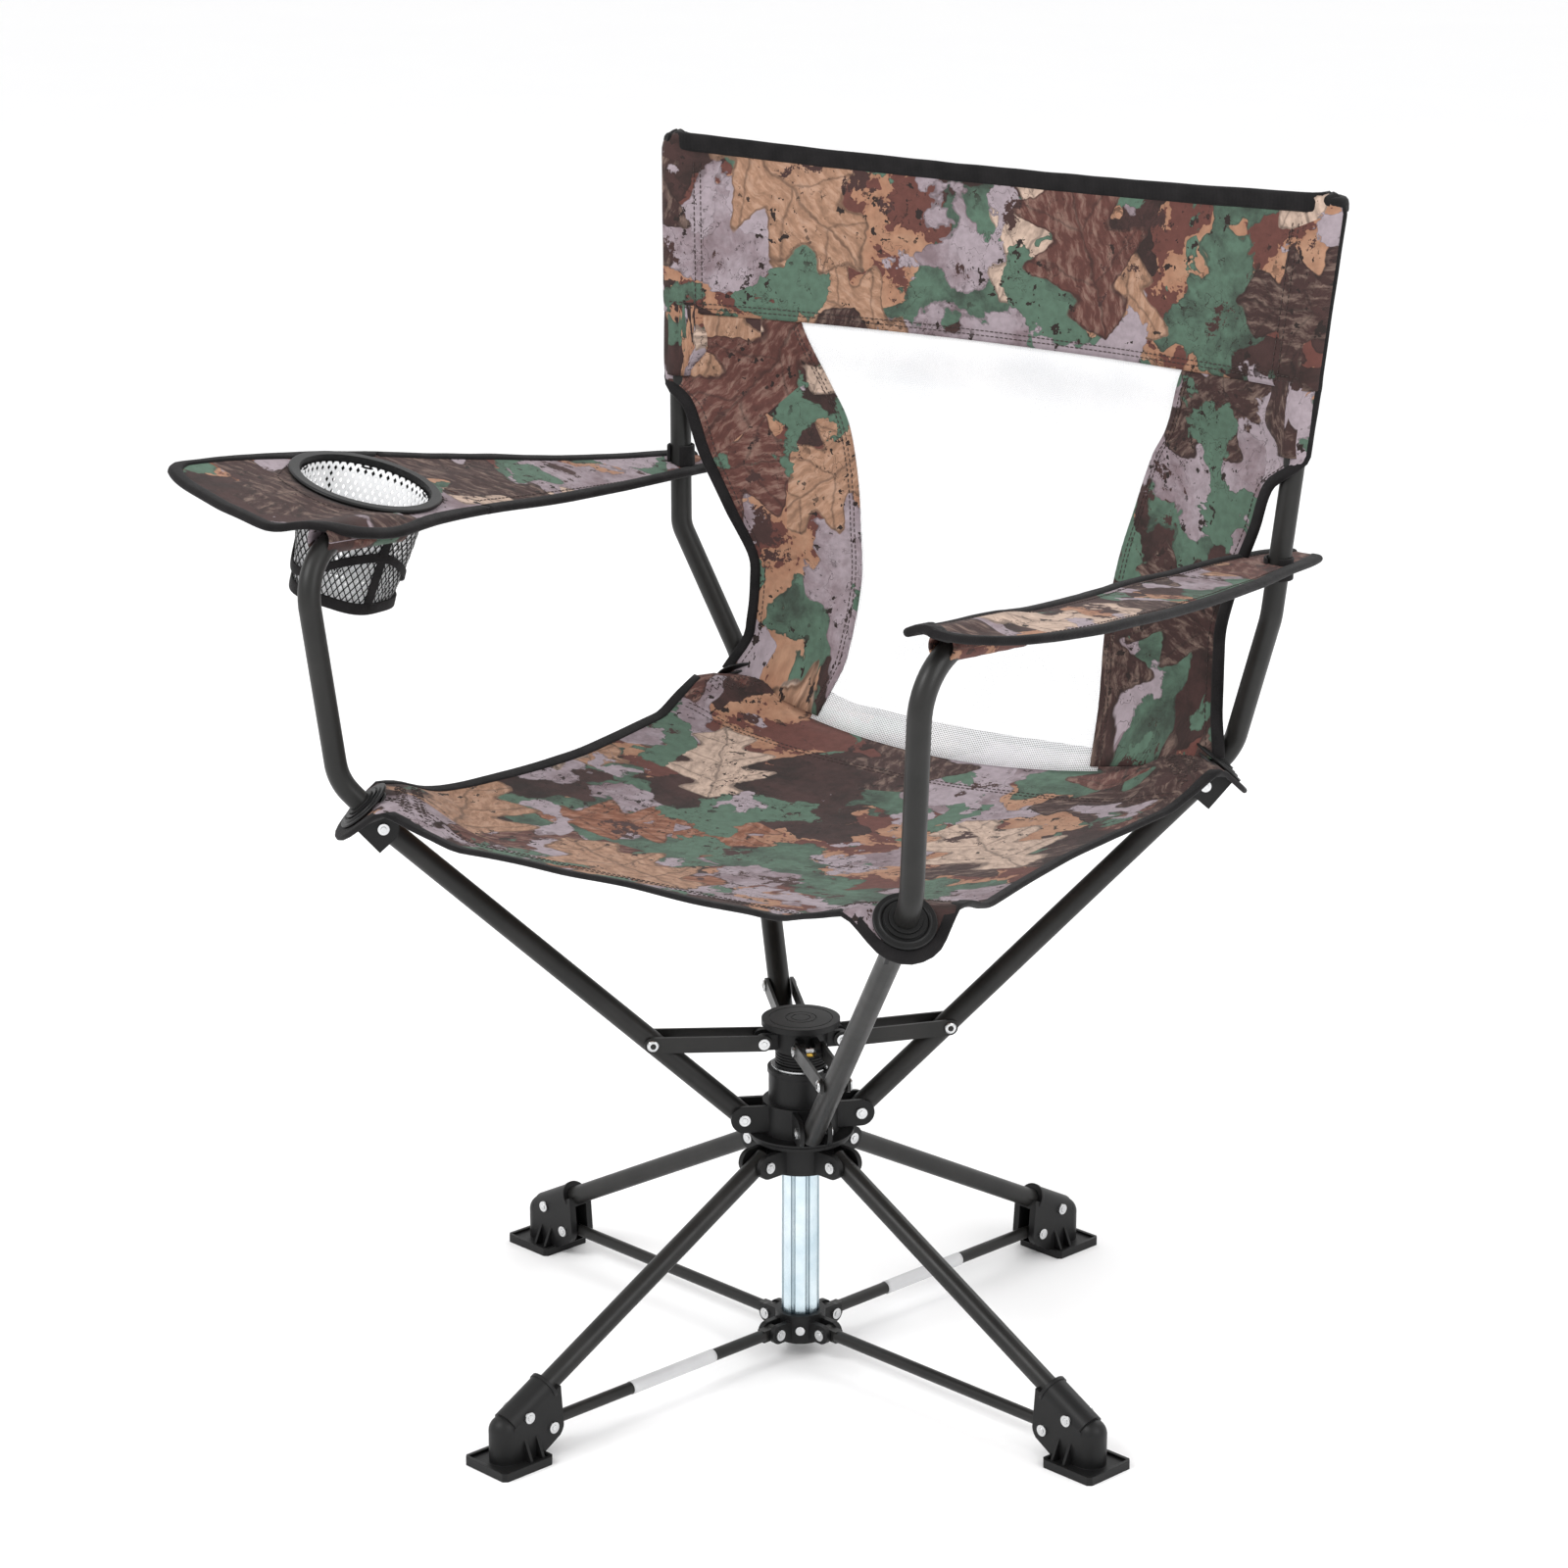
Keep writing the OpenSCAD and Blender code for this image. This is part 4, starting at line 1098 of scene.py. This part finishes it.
def arm_height(x, y, tube_x, seed):
    """How far the cloth stands over its flat plane: over the tube, and in soft ripples."""
    over = math.exp(-((x - tube_x) / 13) ** 2) * (1 - smooth((y - 112) / 45))
    lift = (8.2 - 3.2 * min(max(y, 0), 120) / 120) * over
    ripple = 1.1 * noise.noise(Vector((x * 0.03, y * 0.012, seed)))
    dip = -2.5 * smooth((y - 150) / 150) * (1 - smooth((y - 400) / 130))
    return lift + ripple + dip


LEFT_SIDE = [(-14, -66), (-11, -98), (-5, -122), (5, -137), (20, -143), (36, -142), (70, -139),
             (140, -128), (253, -98), (390, -54), (505, -22), (545, -12)]
RIGHT_SIDE = [(-14, -60), (-11, -21), (6, -2), (29, 9), (60, 20), (95, 27), (160, 19), (240, 16), (340, 20),
              (500, 20), (545, 22)]


def bounds_at(table, y):
    knots = np.array([t[0] for t in table], float)
    values = np.array([t[1] for t in table], float)
    return curve_at(knots, values, min(max(y, knots[0]), knots[-1]))


ARM_CUT = 226


def left_arm_edge(theta):
    """Where a ray from the ring's centre meets the cloth's edge."""
    ahead = arr(math.cos(theta), math.sin(theta))
    low, high = 60.0, 260.0
    for _ in range(26):
        middle = (low + high) / 2
        x, y = CUP_AT + ahead * middle
        inside = -14 < y < ARM_CUT and bounds_at(LEFT_SIDE, y) < x < bounds_at(RIGHT_SIDE, y)
        low, high = (middle, high) if inside else (low, middle)
    return max(low, 61.5)


TURNS = 144
EDGE_R = [left_arm_edge(2 * math.pi * k / TURNS) for k in range(TURNS)]


def left_front_surface(a, b):
    """a is the turn round the ring from 0 to 1, and b goes from the ring out to the edge."""
    place = (a % 1.0) * TURNS
    k = int(place) % TURNS
    share = place - int(place)
    edge = EDGE_R[k] * (1 - share) + EDGE_R[(k + 1) % TURNS] * share
    r = 57.5 + (edge - 57.5) * b
    t = 2 * math.pi * a
    x, y = CUP_AT + arr(math.cos(t), math.sin(t)) * r
    near_ring = 1 - smooth((r - 60) / 14)
    return on_left(arr(x, y, arm_height(x, y, 2, 1.3) * (1 - near_ring)))


def ring_cloth():
    rows = 9
    points, places = [], []
    for side in (1, -1):
        for r in range(rows + 1):
            for k in range(TURNS):
                a, b = k / TURNS, r / rows
                n = normal_of(left_front_surface, a, min(max(b, 0.02), 0.98)) * -1
                p = left_front_surface(a, b)
                points.append(p + n * side * 1.1)
                places.append((p[0] * 1.03 + 1400, p[1] + 900))
    faces = []
    o = (rows + 1) * TURNS
    for r in range(rows):
        for k in range(TURNS):
            j = (k + 1) % TURNS
            q, w = r * TURNS + k, r * TURNS + j
            faces.append((q, q + TURNS, w + TURNS, w))
            faces.append((o + q, o + w, o + w + TURNS, o + q + TURNS))
    for k in range(TURNS):
        j = (k + 1) % TURNS
        e = rows * TURNS
        faces.append((k, j, o + j, o + k))
        faces.append((e + j, e + k, o + e + k, o + e + j))
    return make("arm_cloth_left_front", points, faces, CAMO, None, places)


left_front = ring_cloth()
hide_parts("arm_cloth_left")


def strip_surface(left, right, on_arm, tube_x, seed):
    def surface(a, y):
        low, high = bounds_at(left, y), bounds_at(right, y)
        x = low + (high - low) * a
        return on_arm(arr(x, y, arm_height(x, y, tube_x, seed)))
    return surface


left_rear_surface = strip_surface(LEFT_SIDE, RIGHT_SIDE, on_left, 2, 1.3)


def left_flat(a, y):
    p = left_rear_surface(a, y)
    return (p[0] * 1.03 + 1400, p[1] + 900)


left_rear = cloth("arm_cloth_left_rear", left_rear_surface, left_flat, (0, 1), (ARM_CUT - 6, 543),
                  (18, 44), 2.2,
                  CAMO, "corner_rear_left")

R_LEFT = [(-4, -11), (60, -15), (176, -16), (339, -34), (473, -36), (540, -28), (572, -18)]
R_RIGHT = [(-4, 10), (20, 24), (60, 52), (100, 62), (148, 67), (314, 53), (500, 26), (562, 15), (572, 10)]
right_surface_arm = strip_surface(R_LEFT, R_RIGHT, on_right, 2, 5.9)


def right_flat(a, y):
    p = right_surface_arm(a, y)
    return (p[0] + 1900, p[1] + 1300)


right_arm = cloth("arm_cloth_right_sheet", right_surface_arm, right_flat, (0, 1), (-4, 570), (20, 84),
                  2.2, CAMO,
                  "corner_front_right")
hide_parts("arm_cloth_right")


def edge_tape(name, surface, places, inner_places, body, width, closed=False):
    path, into, ups = [], [], []
    for (a, b), (c, d) in zip(places, inner_places):
        p = surface(a, b)
        up = normal_of(surface, (a + c) / 2, (b + d) / 2)
        if up[2] < 0:
            up = -up
        inward = surface(c, d) - p
        into.append(unit(inward - up * np.dot(inward, up)))
        ups.append(up)
        path.append(p)
    return tape(name, path, into, ups, width, 6.4, body, closed=closed, out=2, wave=0.6)


front_turns = []
for k in range(TURNS * 2):
    t = 2 * math.pi * k / (TURNS * 2)
    x, y = CUP_AT + arr(math.cos(t), math.sin(t)) * left_arm_edge(t)
    front_turns.append((k / (TURNS * 2), y))
run = [a for a, y in front_turns if y < ARM_CUT - 1.5]
order = sorted(run, key=lambda a: (a - 0.25) % 1.0)
left_front_tape = edge_tape("arm_binding_left_front", left_front_surface, [(a, 1.0) for a in order],
                            [(a, 0.85) for a in order], None, 13)


def side_tapes(prefix, surface, low, high, count, body, width):
    made = []
    for edge, inner, label in ((0, 0.12, "outer"), (1, 0.88, "inner")):
        ys = np.linspace(low, high, count)
        made.append(edge_tape(prefix + label, surface, [(edge, y) for y in ys], [(inner, y) for y in ys],
                              body, width))
    return made


left_rear_tapes = side_tapes("arm_binding_left_rear_", left_rear_surface, ARM_CUT - 6, 543, 50,
                             "corner_rear_left", 11)
right_tapes = side_tapes("arm_binding_right_", right_surface_arm, -4, 570, 90, "corner_front_right", 11)
right_tip = edge_tape("arm_binding_right_tip", right_surface_arm, [(a, -4) for a in np.linspace(0, 1, 12)],
                      [(a, 6) for a in np.linspace(0, 1, 12)], "corner_front_right", 20)


def arm_sleeve(label, side):
    """The pocket under the arm cloth that the arm tube slides into."""
    start, end = arr(side * 284.8, -241, 689.8), arr(side * 288, -143, 681)
    ahead = unit(end - start)
    across = unit(np.cross(ahead, arr(0, 0, 1)))
    up = np.cross(across, ahead)
    rings, turns = 24, 32
    points, faces, flat = [], [], []
    for layer, r in ((0, 11.6), (1, 9.7)):
        for k in range(rings + 1):
            p = start + (end - start) * k / rings
            puff = r + 0.35 * noise.noise(Vector((k * 0.4, side * 3.0, 2.0))) if layer == 0 else r
            for j in range(turns):
                t = 2 * math.pi * j / turns
                points.append(p + across * puff * math.cos(t) + up * puff * math.sin(t))
                flat.append((j * 2.2 + 2300 + side * 60, k * 4 + 500))
    o = (rings + 1) * turns
    for k in range(rings):
        for j in range(turns):
            i = (j + 1) % turns
            q, w = k * turns + j, k * turns + i
            faces.append((q, w, w + turns, q + turns))
            faces.append((o + q, o + q + turns, o + w + turns, o + w))
    for j in range(turns):
        i = (j + 1) % turns
        e = rings * turns
        faces.append((j, o + j, o + i, i))
        faces.append((e + j, e + i, o + e + i, o + e + j))
    return make("arm_sleeve_" + label, points, faces, CAMO, "corner_front_" + label, flat)


arm_sleeve("left", -1)
arm_sleeve("right", 1)

left_front_stitch = stitches("arm_stitching_left_front", [
    line_on(left_front_surface, [(k / 120, 0.16) for k in range(121)], 1.5, -1.0)], None)
left_rear_stitch = stitches("arm_stitching_left_rear", [
    line_on(left_rear_surface, [(1 - 0.02 - 11 / 90, y) for y in np.linspace(ARM_CUT, 530, 50)], 1.4)],
    "corner_rear_left")
right_stitch = stitches("arm_stitching_right", [
    line_on(right_surface_arm, [(a, y) for y in np.linspace(12, 560, 90)], 1.4) for a in (0.16, 0.84)],
    "corner_front_right")


# ---------- Loops at the back poles ----------

def pole_loop(label, side, z):
    """A short webbing loop that ties the arm cloth round the pole."""
    x, y = pole_at(z)
    path, into, ups = [], [], []
    for t in np.linspace(math.radians(-150), math.radians(150), 36):
        out = unit(arr(side * math.sin(t), math.cos(t), 0))
        path.append(arr(side * x, y, z) + out * 10.8)
        into.append(arr(0, 0, 1.0))
        ups.append(out)
    return tape("arm_loop_" + label, path, into, ups, 18, 2.2, "corner_rear_" + label, out=9)


pole_loop("left", -1, 672)
pole_loop("right", 1, 652)


# ---------- Drink pocket ----------

def cup_frame(r, t, z):
    return on_left(arr(CUP_AT[0] + r * math.cos(t), CUP_AT[1] + r * math.sin(t), z))


NET_BOTTOM = -96.0


def net_radius(z):
    share = (z - NET_BOTTOM) / -NET_BOTTOM
    return 40.0 + 13.1 * share


def pocket_net(name, inset, material):
    """A bag of netting, open at the ring, with a round bottom edge."""
    profile = [(net_radius(z), z) for z in np.linspace(-0.5, NET_BOTTOM + 8, 14)]
    for t in np.linspace(0, math.pi / 2, 6)[1:]:
        profile.append((net_radius(NET_BOTTOM) - 7 + 7 * math.cos(t), NET_BOTTOM + 7 - 7 * math.sin(t)))
    profile += [(r, NET_BOTTOM - 0.02 * (38 - r)) for r in (30, 20, 10, 3)]
    turns = 64
    points, flat, faces = [], [], []
    length = distances([arr(*p) for p in profile])
    for layer in (inset, inset + 0.4):
        for k, (r, z) in enumerate(profile):
            for j in range(turns + 1):
                t = 2 * math.pi * j / turns
                sag = 2.2 * math.sin(5 * t + 0.02 * z) * math.sin(math.pi * min(1, length[k] / 100))
                points.append(cup_frame(max(r - layer + sag * (r > 40), 1), t, z + layer * (r < 42)))
                flat.append((t * 50, length[k]))
    m = turns + 1
    o = len(profile) * m
    for k in range(len(profile) - 1):
        for j in range(turns):
            q = k * m + j
            faces.append((q, q + m, q + m + 1, q + 1))
            faces.append((o + q, o + q + 1, o + q + m + 1, o + q + m))
    for j in range(turns):
        e = (len(profile) - 1) * m + j
        faces.append((j, j + 1, o + j + 1, o + j))
        faces.append((e + 1, e, o + e, o + e + 1))
    return make(name, points, faces, material, "cup", flat, weld=True)


net = pocket_net("pocket_net", 0, NET)
lining = pocket_net("pocket_lining", 0.8, LINING)
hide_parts("cup_pocket")


def pocket_band(name, z_from, z_to, height):
    path, into, ups = [], [], []
    for j in range(64):
        t = 2 * math.pi * j / 64
        z = (z_from + z_to) / 2 + (z_to - z_from) / 2 * math.cos(2 * t + 0.9)
        p = cup_frame(net_radius(z) + 1.4 + 1.6 * math.sin(5 * t + 0.02 * z), t, z)
        path.append(p)
        into.append(unit(cup_frame(0, t, 1.0) - cup_frame(0, t, 0)))
        ups.append(unit(p - cup_frame(0, t, z)))
    return tape(name, path, into, ups, height, 2.0, "cup", closed=True, out=height / 2)


def pocket_strap(name, t):
    profile = [(net_radius(z) + 1.1, z) for z in np.linspace(-4, NET_BOTTOM + 6, 12)]
    profile += [(net_radius(NET_BOTTOM) - 4, NET_BOTTOM - 0.8), (28, NET_BOTTOM - 1.4), (8, NET_BOTTOM - 1.6)]
    path = [cup_frame(r, t, z) for r, z in profile]
    path = resample(path, 26)
    side = unit(cup_frame(50, t + 0.02, 0) - cup_frame(50, t - 0.02, 0))
    ups = []
    for k in range(len(path)):
        ahead = path[min(k + 1, 25)] - path[max(k - 1, 0)]
        ups.append(unit(np.cross(side, ahead)))
    return tape(name, path, [side] * len(path), ups, 8, 1.8, "cup", out=4)


pocket_parts = [net, lining, pocket_band("pocket_band_rim", -5, -5, 8),
                pocket_band("pocket_band_middle", -74, -42, 8),
                pocket_band("pocket_band_bottom", NET_BOTTOM + 7, NET_BOTTOM + 7, 10)]
for number in range(2):
    pocket_parts.append(pocket_strap("pocket_strap_%d" % number, math.radians(-20 + 180 * number)))


# ---------- Plain films on two struts, link rivet caps and a plate on the collar ----------

LEG_AZIMUTH = {"back": 79, "front": 259}
STRUT_IN, STRUT_OUT, STRUT_Z = 32, 280.5, 23.5
FILM_FROM, FILM_TO = 0.27, 0.63


def strut_film(label):
    """A plain pale film wrapped round the middle of a strut, with a small step at its overlap."""
    out = polar(LEG_AZIMUTH[label], 1, 0)
    side = arr(-out[1], out[0], 0)
    start = STRUT_IN + FILM_FROM * (STRUT_OUT - STRUT_IN)
    end = STRUT_IN + FILM_TO * (STRUT_OUT - STRUT_IN)
    path = [out * r + arr(0, 0, STRUT_Z) for r in np.linspace(start, end, 24)]
    points, faces = [], []
    turns = 28
    for layer in (5.45, 5.06):
        for k, p in enumerate(path):
            for j in range(turns):
                t = 2 * math.pi * j / turns
                r = layer + (0.25 if layer > 5.2 and abs(t - 4.2) < 0.25 else 0)
                points.append(p + side * r * math.cos(t) + arr(0, 0, r * math.sin(t)))
    n = len(path)
    o = n * turns
    for k in range(n - 1):
        for j in range(turns):
            i = (j + 1) % turns
            q, w = k * turns + j, k * turns + i
            faces.append((q, w, w + turns, q + turns))
            faces.append((o + q, o + q + turns, o + w + turns, o + w))
    for j in range(turns):
        i = (j + 1) % turns
        e = (n - 1) * turns
        faces.append((j, o + j, o + i, i))
        faces.append((e + j, e + i, o + e + i, o + e + j))
    return make("strut_film_" + label, points, faces, SLEEVE, "strut_" + label + "_assembly")


strut_film("front")
strut_film("back")

LINK_END = (121.09, 273.97)
LINK_OUTSIDE = 11.95


def link_caps(corner):
    """Bright domed heads over the rivets at a link's outer end."""
    out = polar(CORNER_AZIMUTH[corner], 1, 0)
    side = arr(-out[1], out[0], 0)
    middle = out * LINK_END[0] + arr(0, 0, LINK_END[1])
    profile = [(5.0, 0), (5.0, 0.9), (4.7, 1.6), (3.9, 2.1), (2.0, 2.35), (1.9, 1.9), (0.3, 1.9)]
    points, faces = [], []
    for way in (-1, 1):
        o = len(points)
        for r, rise in profile:
            for j in range(28):
                t = 2 * math.pi * j / 28 * way
                points.append(middle + side * way * (LINK_OUTSIDE + rise)
                              + (out * math.cos(t) + arr(0, 0, math.sin(t))) * r)
        for k in range(len(profile) - 1):
            for j in range(28):
                i = (j + 1) % 28
                faces.append((o + k * 28 + i, o + k * 28 + j, o + k * 28 + 28 + j, o + k * 28 + 28 + i))
        faces.append(tuple(o + j for j in range(28)))
        faces.append(tuple(o + (len(profile) - 1) * 28 + j for j in range(27, -1, -1)))
    return make("link_rivet_caps_" + corner, points, faces, STEEL, "link_" + corner)


for corner in CORNERS:
    link_caps(corner)


def collar_plate():
    """A small plain plate on the collar's neck."""
    points, faces = [], []
    across, up = 14, 5
    for r in (22.55, 22.0):
        for j in range(up + 1):
            for i in range(across + 1):
                a = 337 + 20 * (2 * i / across - 1)
                corner = 1 - 0.12 * (abs(2 * j / up - 1) > 0.99)
                points.append(polar(337 + (a - 337) * corner, r, 265 + 3.2 * (2 * j / up - 1)))
    m = across + 1
    o = (up + 1) * m
    for j in range(up):
        for i in range(across):
            q = j * m + i
            faces.append((q, q + 1, q + m + 1, q + m))
            faces.append((o + q, o + q + m, o + q + m + 1, o + q + 1))
    for i in range(across):
        e = up * m + i
        faces.append((i, o + i, o + i + 1, i + 1))
        faces.append((e, e + 1, o + e + 1, o + e))
    for j in range(up):
        q, e = j * m, j * m + across
        faces.append((q, q + m, o + q + m, o + q))
        faces.append((e, o + e, o + e + m, e + m))
    return make("collar_plate", points, faces, BRASS, "collar")


collar_plate()


# ---------- Seat pieces hooked to the corners; other soft pieces get own mesh copies or baked transforms ---

for piece in SEAT_PARTS:
    follow_corners(piece)

for piece in BACK_PARTS:
    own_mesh(piece)

for piece in [right_arm, right_tip, right_stitch] + right_tapes:
    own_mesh(piece)

for piece in [left_rear, left_rear_stitch] + left_rear_tapes:
    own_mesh(piece)

for piece in [left_front, left_front_tape, left_front_stitch]:
    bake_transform(piece)

for piece in pocket_parts:
    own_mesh(piece)


# ---------- Stage, light and camera ----------

bpy.ops.mesh.primitive_grid_add(x_subdivisions=4, y_subdivisions=4, size=60, location=(0, 0, 0))
floor = bpy.context.object
floor.name = "studio_floor"
floor.data.materials.append(FLOOR)

world = bpy.data.worlds.new("soft_white")
bpy.context.scene.world = world
world.use_nodes = True
world.node_tree.nodes["Background"].inputs[0].default_value = (1.0, 1.0, 1.0, 1.0)
world.node_tree.nodes["Background"].inputs[1].default_value = 1.0


def soft_box(name, place, aim, size, power):
    data = bpy.data.lights.new(name, "AREA")
    data.shape = "RECTANGLE"
    data.size, data.size_y = size
    data.energy = power
    lamp = bpy.data.objects.new(name, data)
    lamp.location = place
    lamp.rotation_euler = (Vector(aim) - Vector(place)).to_track_quat("-Z", "Y").to_euler()
    bpy.context.scene.collection.objects.link(lamp)


soft_box("key", (-1.2, -3.0, 3.4), (0, 0, 0.4), (2.2, 1.6), 90)
soft_box("side", (3.2, -0.6, 2.2), (0, 0, 0.5), (1.6, 2.0), 40)
soft_box("rim", (0.4, 3.0, 2.6), (0, 0, 0.6), (2.4, 1.2), 24)

camera_data = bpy.data.cameras.new("photo_camera")
camera_data.lens = 98
camera_data.sensor_width = 36
camera_data.clip_end = 60
camera = bpy.data.objects.new("photo_camera", camera_data)
camera.location = (1.837, -2.669, 1.440)
aim = Vector((-0.022, 0.008, 0.478))
camera.rotation_euler = (aim - camera.location).to_track_quat("-Z", "Y").to_euler()
bpy.context.scene.collection.objects.link(camera)
bpy.context.scene.camera = camera

bpy.context.scene.view_settings.view_transform = "Standard"
bpy.context.scene.view_settings.look = "None"
